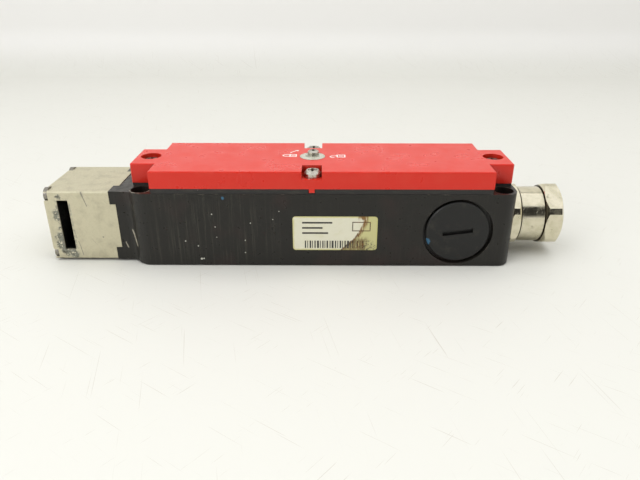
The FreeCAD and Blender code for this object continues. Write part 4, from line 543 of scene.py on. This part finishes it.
def plug_plastic():
    """Black glass-filled plastic with rubbed rims and a dab of blue paint on the near plug's edge."""
    look = Finish("plug_plastic")
    grain = look.noise(0.4, detail=3.0)
    clouds = look.noise(3.5, detail=4.0)
    color = look.blend(PLUG_PLASTIC, COATING_DUSTY, look.ramp(clouds, 0.48, 0.85, 0.6))
    rubbed = look.times(look.edges(0.3), look.ramp(look.noise(1.6, detail=4.0), 0.38, 0.66), 0.6)
    color = look.blend(color, COATING_DUSTY, rubbed)
    dab = look.times(look.spot(PLUG_DAB, PLUG_DAB_RADIUS, 0.45, 0.9), look.ramp(look.y, -17.0, -18.5))
    color = look.blend(color, PAINT_BLUE, dab)
    look.bump(grain, 0.012)
    look.bump(dab, 0.03)
    return look.done(color, look.level(0.30, 0.50, look.ramp(clouds, 0.3, 0.75)), gloss=0.34)


def machined_steel(name, color, dark):
    """Ground steel of the inner pieces: fine lines, oil film and darker patches."""
    look = Finish(name)
    lines = look.noise(0.3, detail=2.0, stretch=(0.06, 1, 1))
    clouds = look.noise(3.0, detail=4.0)
    shade = look.blend(color, dark, look.ramp(clouds, 0.4, 0.8, 0.7))
    look.bump(lines, 0.01)
    return look.done(shade, look.level(0.22, 0.42, look.ramp(clouds, 0.3, 0.7)), 1.0)


def inner_plastic(name, color, dark):
    """Moulded plastic of the inner pieces, a little uneven in colour."""
    look = Finish(name)
    clouds = look.noise(5.0, detail=3.0)
    shade = look.blend(color, dark, look.ramp(clouds, 0.45, 0.85, 0.4))
    look.bump(look.noise(0.4, detail=2.0), 0.01)
    return look.done(shade, look.level(0.38, 0.55, look.ramp(clouds, 0.3, 0.7)))


COIL_TURNS_SCALE = 1.1
COIL_TURNS_WAVER = 0.4


def wound_copper():
    """Enamelled wire laid in turns along X."""
    look = Finish("wound_copper")
    turns = look.nodes.new("ShaderNodeTexWave")
    turns.bands_direction = "X"
    turns.inputs["Scale"].default_value = COIL_TURNS_SCALE
    turns.inputs["Distortion"].default_value = COIL_TURNS_WAVER
    look.links.new(look.place, turns.inputs["Vector"])
    # painted shade: the wave's dark bands stand for shade between the wire's turns
    color = look.blend(COPPER_SHADE, COPPER, turns.outputs["Fac"])
    look.bump(turns.outputs["Fac"], 0.12)
    return look.done(color, 0.3, 0.7)


def printed_white():
    """White pad print, thin in places so that the red shows through."""
    look = Finish("printed_white")
    missing = look.ramp(look.noise(0.5, detail=4.0), 0.56, 0.7)
    color = look.blend(WHITE_INK, RED_WORN, look.times(missing, 0.55))
    look.bump(look.noise(0.3, detail=2.0), 0.01)
    return look.done(color, look.level(0.4, 0.6, missing))


# Rating label, its printed bars and stain

LABEL_LEFT = -11.3
LABEL_RIGHT = 21.9
LABEL_LOW = 7.2
LABEL_HIGH = 21.6
LABEL_CORNER = 1.2
LABEL_THICKNESS = 0.12
SIDE_FACE = -20.0

# the stain's front runs from the label's foot up and right, and bends left as it rises
STAIN_FOOT = 7.4
STAIN_SLOPE = 1.25
STAIN_BEND = 0.042
STAIN_RAGGED = 2.2
STAIN_HEAD_X = (14.4, 17.6)
STAIN_HEAD_Z = (21.2, 22.4)
STAIN_FAN_X = (19.6, 16.2)
STAIN_FAN_Z = (13.6, 11.2)
LABEL_SCUFF = (18.2, None, 8.2)
LABEL_SCUFF_RADIUS = 4.6


def paper_label():
    """Cream film label: yellowed rim, faded right end, brown stain and a scuffed lower corner."""
    look = Finish("paper_label")
    clouds = look.noise(3.0, detail=4.0)
    color = look.blend(LABEL_CREAM, LABEL_FADED, look.ramp(clouds, 0.5, 0.85, 0.35))
    middle_x = (LABEL_LEFT + LABEL_RIGHT) / 2
    middle_z = (LABEL_LOW + LABEL_HIGH) / 2
    half_x = (LABEL_RIGHT - LABEL_LEFT) / 2
    half_z = (LABEL_HIGH - LABEL_LOW) / 2
    off_x = look.math("ABSOLUTE", look.math("SUBTRACT", look.x, middle_x))
    off_z = look.math("ABSOLUTE", look.math("SUBTRACT", look.z, middle_z))
    inset = look.math(
        "MINIMUM", look.math("SUBTRACT", half_x, off_x), look.math("SUBTRACT", half_z, off_z)
    )
    uneven = look.math("ADD", inset, look.math("MULTIPLY", look.noise(2.0, detail=3.0), 0.7))
    color = look.blend(color, LABEL_EDGE, look.ramp(uneven, 1.15, 0.55, 0.9))

    rise = look.math("SUBTRACT", look.z, LABEL_LOW)
    front = look.math("ADD", look.math("MULTIPLY", rise, STAIN_SLOPE), STAIN_FOOT)
    bend = look.math("MULTIPLY", look.math("MULTIPLY", rise, rise), STAIN_BEND)
    front = look.math("SUBTRACT", front, bend)
    shake = look.math("SUBTRACT", look.noise(1.8, detail=5.0), 0.5)
    ahead = look.math("SUBTRACT", look.x, front)
    ahead = look.math("ADD", ahead, look.math("MULTIPLY", shake, STAIN_RAGGED))
    right_part = look.ramp(ahead, 0.0, 1.6)
    color = look.blend(color, LABEL_FADED, look.times(right_part, 0.85))
    body = look.times(look.ramp(ahead, -0.45, 0.15), look.ramp(ahead, 2.1, 0.9))
    from_top = look.math("ADD", look.z, look.times(look.noise(1.6, detail=4.0, shift=(1, 3, 8)), 3.0))
    head = look.times(look.ramp(from_top, *STAIN_HEAD_Z), look.band(look.x, *STAIN_HEAD_X, 0.7))
    low_fan = look.times(
        look.ramp(ahead, -0.2, 0.4),
        look.ramp(look.z, *STAIN_FAN_Z),
        look.ramp(look.x, *STAIN_FAN_X),
        0.6,
    )
    streaky = look.ramp(look.noise(1.1, detail=5.0, stretch=(2.2, 1, 0.4)), 0.30, 0.55)
    stain = look.times(look.most(body, head, low_fan), streaky)
    color = look.blend(color, LABEL_STAIN, look.times(stain, 0.95))
    low_front = look.times(
        look.ramp(ahead, -0.3, 0.15), look.ramp(ahead, 1.0, 0.5), look.ramp(look.z, 15.5, 12.5)
    )
    burnt = look.times(
        look.most(low_front, look.times(low_fan, 0.8)),
        look.ramp(look.noise(0.8, detail=5.0, stretch=(1.4, 1, 0.5), shift=(6, 0, 2)), 0.40, 0.52),
    )
    color = look.blend(color, LABEL_BURN, burnt)
    scuff = look.times(
        look.spot(LABEL_SCUFF, LABEL_SCUFF_RADIUS, 0.6, 1.2),
        look.ramp(look.noise(0.8, detail=4.0, stretch=(1, 1, 2.2), turn=(0, 20, 0)), 0.52, 0.58),
    )
    color = look.blend(color, COATING, look.times(scuff, 0.75))
    look.bump(clouds, 0.02)
    look.bump(stain, 0.03)
    look.bump(scuff, -0.05)
    return look.done(color, look.level(0.34, 0.6, look.most(stain, clouds)))


def label_ink():
    """Faded black print of the label's plain bars, rubbed away under the stain."""
    look = Finish("label_ink")
    rubbed = look.times(look.ramp(look.x, 9.5, 15.5), look.ramp(look.noise(0.8, detail=4.0), 0.3, 0.6))
    color = look.blend(LABEL_INK, LABEL_STAIN, look.times(rubbed, 0.7))
    color = look.blend(color, LABEL_CREAM, look.ramp(look.noise(0.4, detail=4.0), 0.6, 0.75, 0.5))
    return look.done(color, 0.5)


BACKDROP_FADE = (2.0, 40.0)


def floor_look():
    """Pale table top with a few fine scuffs."""
    look = Finish("floor_look")
    marks = look.most(
        look.times(look.scratches(34.0, 0.35, 0.31, (0, 0, 35)), 0.7),
        look.times(look.scratches(15.0, 0.3, 0.30, (0, 0, -50), (40, 9, 0)), 0.7),
        look.times(look.scratches(48.0, 0.4, 0.30, (0, 0, 78), (7, 31, 0)), 0.6),
        look.times(look.specks(9.0, 0.38, 0.42), 0.9),
    )
    color = look.blend(FLOOR, FLOOR_MARK, look.times(marks, 0.6))
    color = look.blend(color, BACKDROP, look.ramp(look.z, *BACKDROP_FADE))
    look.bump(look.noise(6.0, detail=3.0), 0.02)
    return look.done(color, look.level(0.5, 0.62, look.noise(30.0)))


FINISHES = {
    "coated_casting": coated_casting(),
    "red_moulding": red_moulding(),
    "worn_nickel": worn_nickel(),
    "turned_nickel": turned_nickel(),
    "plated_screw": plated_screw("plated_screw", ZINC),
    "bright_screw": plated_screw("bright_screw", ZINC_BRIGHT),
    "dull_screw": plated_screw("dull_screw", ZINC_DULL),
    "seal_rubber": seal_rubber(),
    "plug_plastic": plug_plastic(),
    "hard_steel": machined_steel("hard_steel", STEEL, STEEL_DARK),
    "soft_iron": machined_steel("soft_iron", ZINC, STEEL),
    "white_plastic": inner_plastic("white_plastic", WHITE_PLASTIC, LABEL_FADED),
    "block_plastic": inner_plastic("block_plastic", RUBBER, COATING_DUSTY),
    "wound_copper": wound_copper(),
    "contact_brass": machined_steel("contact_brass", BRASS, NICKEL_STAIN),
    "printed_white": printed_white(),
    "paper_label": paper_label(),
    "label_ink": label_ink(),
}

DRESSED = {
    "coated_casting": ["housing"],
    "red_moulding": ["cover"],
    "worn_nickel": ["head_casing"],
    "turned_nickel": ["gland_body", "gland_nut"],
    "plated_screw": ["cover_side_screws", "release_lock_screw", "solenoid_screws", "terminal_screws"],
    "bright_screw": ["release_disc"],
    "dull_screw": ["cover_end_screws", "head_screws"],
    "seal_rubber": [
        "cover_gasket",
        "release_seal",
        "head_gasket",
        "plug_seal_near",
        "plug_seal_far",
        "gland_washer",
        "gland_seal",
    ],
    "plug_plastic": ["blanking_plug_near", "blanking_plug_far"],
    "hard_steel": [
        "release_shaft",
        "release_crank",
        "wheel_axle",
        "cam_wheel",
        "cam_dowels",
        "locking_bolt",
        "armature_rod",
        "bolt_yoke",
        "bolt_spring",
        "follower_spring",
    ],
    "soft_iron": ["armature", "solenoid_frame", "pole_piece"],
    "white_plastic": ["eccentric_cam", "coil_bobbin", "guide_block", "follower_rod", "contact_slide"],
    "block_plastic": ["contact_block"],
    "wound_copper": ["coil_winding"],
    "contact_brass": ["moving_contacts", "fixed_contacts", "terminal_clamps", "earth_screw"],
}

for finish, node_names in DRESSED.items():
    for node_name in node_names:
        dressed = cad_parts[node_name]
        for material_slot in dressed.material_slots:
            material_slot.material = FINISHES[finish]


# Printed and applied pieces


def on_circle(centre, radius, degrees):
    """A place on a circle, anticlockwise from its right."""
    angle = math.radians(degrees)
    return (centre[0] + radius * math.cos(angle), centre[1] + radius * math.sin(angle))


def rounded_outline(left, right, low, high, radius, steps=8):
    """Corner arcs of a rounded rectangle, anticlockwise."""
    points = []
    corners = ((right, low, -90), (right, high, 0), (left, high, 90), (left, low, 180))
    for corner_x, corner_y, start in corners:
        centre_x = corner_x + (radius if corner_x == left else -radius)
        centre_y = corner_y + (radius if corner_y == low else -radius)
        for step in range(steps + 1):
            points.append(on_circle((centre_x, centre_y), radius, start + 90 * step / steps))
    return points


def slab(name, outlines, to_space, thickness, finish, body):
    """Thin raised piece from flat outlines in millimetres."""
    mesh = bmesh.new()
    for outline in outlines:
        lower = [mesh.verts.new(to_space(across, up, 0.0)) for across, up in outline]
        upper = [mesh.verts.new(to_space(across, up, thickness)) for across, up in outline]
        count = len(outline)
        mesh.faces.new(list(reversed(lower)))
        mesh.faces.new(upper)
        for index in range(count):
            following = (index + 1) % count
            mesh.faces.new((lower[index], lower[following], upper[following], upper[index]))
    bmesh.ops.recalc_face_normals(mesh, faces=mesh.faces)
    data = bpy.data.meshes.new(name)
    mesh.to_mesh(data)
    mesh.free()
    piece = bpy.data.objects.new(name, data)
    bpy.context.collection.objects.link(piece)
    data.materials.append(FINISHES[finish])
    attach(piece, body)


def on_side(across, up, lift):
    """A place on the near side face."""
    return Vector((across, SIDE_FACE - lift, up)) * MM


COVER_TOP = 39.7


def on_cover(across, up, lift):
    """A place on the cover's top."""
    return Vector((across, up, COVER_TOP + lift)) * MM


def arc_band(centre, radius, width, start, end, steps=20):
    """Outline of a ring segment between two angles in degrees."""
    outer = []
    inner = []
    for step in range(steps + 1):
        angle = start + (end - start) * step / steps
        outer.append(on_circle(centre, radius + width / 2, angle))
        inner.append(on_circle(centre, radius - width / 2, angle))
    return outer + list(reversed(inner))


def rectangle(left, right, low, high):
    return [(left, low), (right, low), (right, high), (left, high)]


def frame_bars(left, right, low, high, width):
    """Four bars round a rectangle."""
    return [
        rectangle(left, right, low, low + width),
        rectangle(left, right, high - width, high),
        rectangle(left, left + width, low + width, high - width),
        rectangle(right - width, right, low + width, high - width),
    ]


# The label's print: plain ruled lines, an empty field and a row of plain bars

LINE_LEFT = -7.6
LINE_RIGHTS = (4.2, 0.4, 2.6)
LINE_TOP = 19.0
LINE_PITCH = 2.2
LINE_HALF_WIDTH = 0.35
FIELD_LEFT = 12.0
FIELD_RIGHT = 19.2
FIELD_LOW = 15.4
FIELD_HIGH = 19.4
FIELD_LINE = 0.35
BAR_LEFT = -6.6
BAR_LOW = 8.1
BAR_HIGH = 11.3
BAR_WIDTHS = (0.5, 0.3, 0.6, 0.3, 0.5, 0.8, 0.3, 0.5, 0.3, 0.6, 0.4, 0.8) * 2
BAR_GAPS = (0.5, 0.6, 0.4, 0.6, 0.5, 0.4, 0.6, 0.4, 0.5, 0.6, 0.4, 0.5) * 2
LABEL_INK_HEIGHT = 0.02


def on_label(across, up, lift):
    """A place on the label's face."""
    return on_side(across, up, LABEL_THICKNESS + lift)


def make_label():
    outline = rounded_outline(LABEL_LEFT, LABEL_RIGHT, LABEL_LOW, LABEL_HIGH, LABEL_CORNER)
    slab("rating_label", [outline], on_side, LABEL_THICKNESS, "paper_label", "casing")
    rows = []
    for row, line_right in enumerate(LINE_RIGHTS):
        height = LINE_TOP - row * LINE_PITCH
        rows.append(
            rectangle(LINE_LEFT, line_right, height - LINE_HALF_WIDTH, height + LINE_HALF_WIDTH)
        )
    field = frame_bars(FIELD_LEFT, FIELD_RIGHT, FIELD_LOW, FIELD_HIGH, FIELD_LINE)
    bars = []
    bar_left = BAR_LEFT
    for width, gap in zip(BAR_WIDTHS, BAR_GAPS):
        bars.append(rectangle(bar_left, bar_left + width, BAR_LOW, BAR_HIGH))
        bar_left += width + gap
    slab("label_print", rows + field + bars, on_label, LABEL_INK_HEIGHT, "label_ink", "casing")


# The cover's print: two padlocks and an arrow round the disc

INK_HEIGHT = 0.03
INK_LINE = 0.55
PADLOCKS = (  # name, body from left to right, middle line, opened
    ("padlock_shut", -13.2, -10.2, 1.0, False),
    ("padlock_open", 6.0, 9.6, 0.4, True),
)
PADLOCK_HALF_BODY = 1.75
KEYHOLE_HALF = (0.7, 0.3)
SHACKLE_REACH = 1.4
SHACKLE_RADIUS = 1.15
SHACKLE_SWING = 0.9
SHACKLE_STUB = 0.5


def padlock(name, body_left, body_right, middle, opened):
    """Padlock lying along X: body with a keyhole, and a shackle on its left, shut or swung open."""
    low = middle - PADLOCK_HALF_BODY
    high = middle + PADLOCK_HALF_BODY
    outlines = frame_bars(body_left, body_right, low, high, INK_LINE)
    keyhole_x = (body_left + body_right) / 2
    outlines.append(rectangle(
        keyhole_x - KEYHOLE_HALF[0], keyhole_x + KEYHOLE_HALF[0],
        middle - KEYHOLE_HALF[1], middle + KEYHOLE_HALF[1],
    ))
    turn = body_left - SHACKLE_REACH
    level = middle - SHACKLE_SWING if opened else middle
    outlines.append(arc_band((turn, level), SHACKLE_RADIUS, INK_LINE, 90, 270, 14))
    for side in (-1, 1):
        leg_end = turn + SHACKLE_STUB if opened and side < 0 else body_left
        leg = level + side * SHACKLE_RADIUS
        outlines.append(rectangle(turn, leg_end, leg - INK_LINE / 2, leg + INK_LINE / 2))
    slab(name, outlines, on_cover, INK_HEIGHT, "printed_white", "casing")


RELEASE_CENTRE = (-3.8, 0.0)
ARROW_RADIUS = 10.4
ARROW_LINE = 0.5
ARROW_START = 152.0
ARROW_END = 130.0
ARROW_HEAD_HALF = 0.95
ARROW_HEAD_BACK = 1
ARROW_HEAD_FRONT = 7


def make_pictograms():
    for lock in PADLOCKS:
        padlock(*lock)
    shaft = arc_band(RELEASE_CENTRE, ARROW_RADIUS, ARROW_LINE, ARROW_START, ARROW_END)
    head = [
        on_circle(RELEASE_CENTRE, ARROW_RADIUS, ARROW_END - ARROW_HEAD_FRONT),
        on_circle(RELEASE_CENTRE, ARROW_RADIUS + ARROW_HEAD_HALF, ARROW_END + ARROW_HEAD_BACK),
        on_circle(RELEASE_CENTRE, ARROW_RADIUS - ARROW_HEAD_HALF, ARROW_END + ARROW_HEAD_BACK),
    ]
    slab("turn_arrow", [shaft, head], on_cover, INK_HEIGHT, "printed_white", "casing")


make_label()
make_pictograms()


# Floor, light and camera, in metres

FLOOR_HALF_WIDTH = 1.6
FLOOR_NEAR = -0.9
FLOOR_BEND = 0.42
FLOOR_BEND_RADIUS = 0.05
FLOOR_BEND_STEPS = 12
BACKDROP_HEIGHT = 1.3

STUDIO_COLOR = (1.0, 0.995, 0.975, 1)
STUDIO_STRENGTH = 1.0
OVERHEAD_START = 0.60  # how far up a direction points
OVERHEAD_FULL = 0.78
PHOTOGRAPHER = (0.0, -0.84, 0.54)
PHOTOGRAPHER_CORE = 27.0  # degrees off that direction
PHOTOGRAPHER_REACH = 38.0
PHOTOGRAPHER_STRENGTH = 0.03

LAMPS = (  # name, place, target, size, watts
    ("overhead", (0.0, -0.12, 0.75), (0, -0.05, 0), (1.6, 0.9), 5.3),
    ("front_left", (-0.60, -0.60, 0.45), (0, 0, 0), (0.5, 0.5), 2.3),
)


def make_floor():
    """Table top that curves up into a backdrop well behind the switch."""
    mesh = bmesh.new()
    profile = [(FLOOR_NEAR, 0.0), (FLOOR_BEND, 0.0)]
    for step in range(1, FLOOR_BEND_STEPS + 1):
        angle = math.radians(90 * step / FLOOR_BEND_STEPS)
        away = FLOOR_BEND + FLOOR_BEND_RADIUS * math.sin(angle)
        profile.append((away, FLOOR_BEND_RADIUS - FLOOR_BEND_RADIUS * math.cos(angle)))
    profile.append((FLOOR_BEND + FLOOR_BEND_RADIUS, BACKDROP_HEIGHT))
    rows = [
        [mesh.verts.new((side * FLOOR_HALF_WIDTH, away, up)) for side in (-1, 1)]
        for away, up in profile
    ]
    for lower, upper in zip(rows, rows[1:]):
        mesh.faces.new((lower[0], lower[1], upper[1], upper[0]))
    data = bpy.data.meshes.new("floor")
    mesh.to_mesh(data)
    mesh.free()
    for face in data.polygons:
        face.use_smooth = True
    floor = bpy.data.objects.new("floor", data)
    bpy.context.collection.objects.link(floor)
    data.materials.append(floor_look())


def area_light(name, place, target, size, power):
    """A rectangular lamp that points at a target."""
    light = bpy.data.lights.new(name, "AREA")
    light.shape = "RECTANGLE"
    light.size = size[0]
    light.size_y = size[1]
    light.energy = power
    lamp = bpy.data.objects.new(name, light)
    lamp.location = place
    aim = Vector(target) - Vector(place)
    lamp.rotation_euler = aim.to_track_quat("-Z", "Y").to_euler()
    bpy.context.collection.objects.link(lamp)


def make_world():
    """Even studio light, dark in front where the photographer stands."""
    world = bpy.data.worlds.new("studio")
    bpy.context.scene.world = world
    world.use_nodes = True
    nodes = world.node_tree.nodes
    links = world.node_tree.links
    background = nodes["Background"]
    background.inputs["Color"].default_value = STUDIO_COLOR
    heading = nodes.new("ShaderNodeTexCoord")
    toward = nodes.new("ShaderNodeVectorMath")
    toward.operation = "DOT_PRODUCT"
    toward.inputs[1].default_value = PHOTOGRAPHER
    links.new(heading.outputs["Generated"], toward.inputs[0])
    strength = nodes.new("ShaderNodeMapRange")
    strength.interpolation_type = "SMOOTHSTEP"
    strength.inputs["From Min"].default_value = math.cos(math.radians(PHOTOGRAPHER_REACH))
    strength.inputs["From Max"].default_value = math.cos(math.radians(PHOTOGRAPHER_CORE))
    strength.inputs["To Min"].default_value = STUDIO_STRENGTH
    strength.inputs["To Max"].default_value = PHOTOGRAPHER_STRENGTH
    links.new(toward.outputs["Value"], strength.inputs["Value"])

    # metal that faces up sees the lamp alone, not the lamp and the world behind it
    ray = nodes.new("ShaderNodeLightPath")
    parts = nodes.new("ShaderNodeSeparateXYZ")
    links.new(heading.outputs["Generated"], parts.inputs[0])
    overhead = nodes.new("ShaderNodeMapRange")
    overhead.interpolation_type = "SMOOTHSTEP"
    overhead.inputs["From Min"].default_value = OVERHEAD_START
    overhead.inputs["From Max"].default_value = OVERHEAD_FULL
    links.new(parts.outputs["Z"], overhead.inputs["Value"])
    hidden = nodes.new("ShaderNodeMath")
    hidden.operation = "MULTIPLY"
    links.new(overhead.outputs[0], hidden.inputs[0])
    links.new(ray.outputs["Is Glossy Ray"], hidden.inputs[1])
    unlit = nodes.new("ShaderNodeMix")
    unlit.inputs["B"].default_value = 0.0
    links.new(hidden.outputs[0], unlit.inputs["Factor"])
    links.new(strength.outputs[0], unlit.inputs["A"])
    seen = nodes.new("ShaderNodeMix")
    seen.inputs["B"].default_value = STUDIO_STRENGTH
    links.new(ray.outputs["Is Camera Ray"], seen.inputs["Factor"])
    links.new(unlit.outputs["Result"], seen.inputs["A"])
    links.new(seen.outputs["Result"], background.inputs["Strength"])


def make_lights():
    for lamp in LAMPS:
        area_light(*lamp)


def make_camera():
    camera = bpy.data.cameras.new("camera")
    camera.lens = CAMERA_LENS
    camera.sensor_width = CAMERA_SENSOR
    camera.clip_start = CAMERA_CLIP_START
    holder = bpy.data.objects.new("camera", camera)
    holder.location = CAMERA_PLACE
    holder.rotation_euler = (math.radians(90 - CAMERA_PITCH), 0, math.radians(CAMERA_YAW))
    bpy.context.collection.objects.link(holder)
    bpy.context.scene.camera = holder


make_floor()
make_world()
make_lights()
make_camera()
bpy.context.scene.view_settings.view_transform = "Standard"
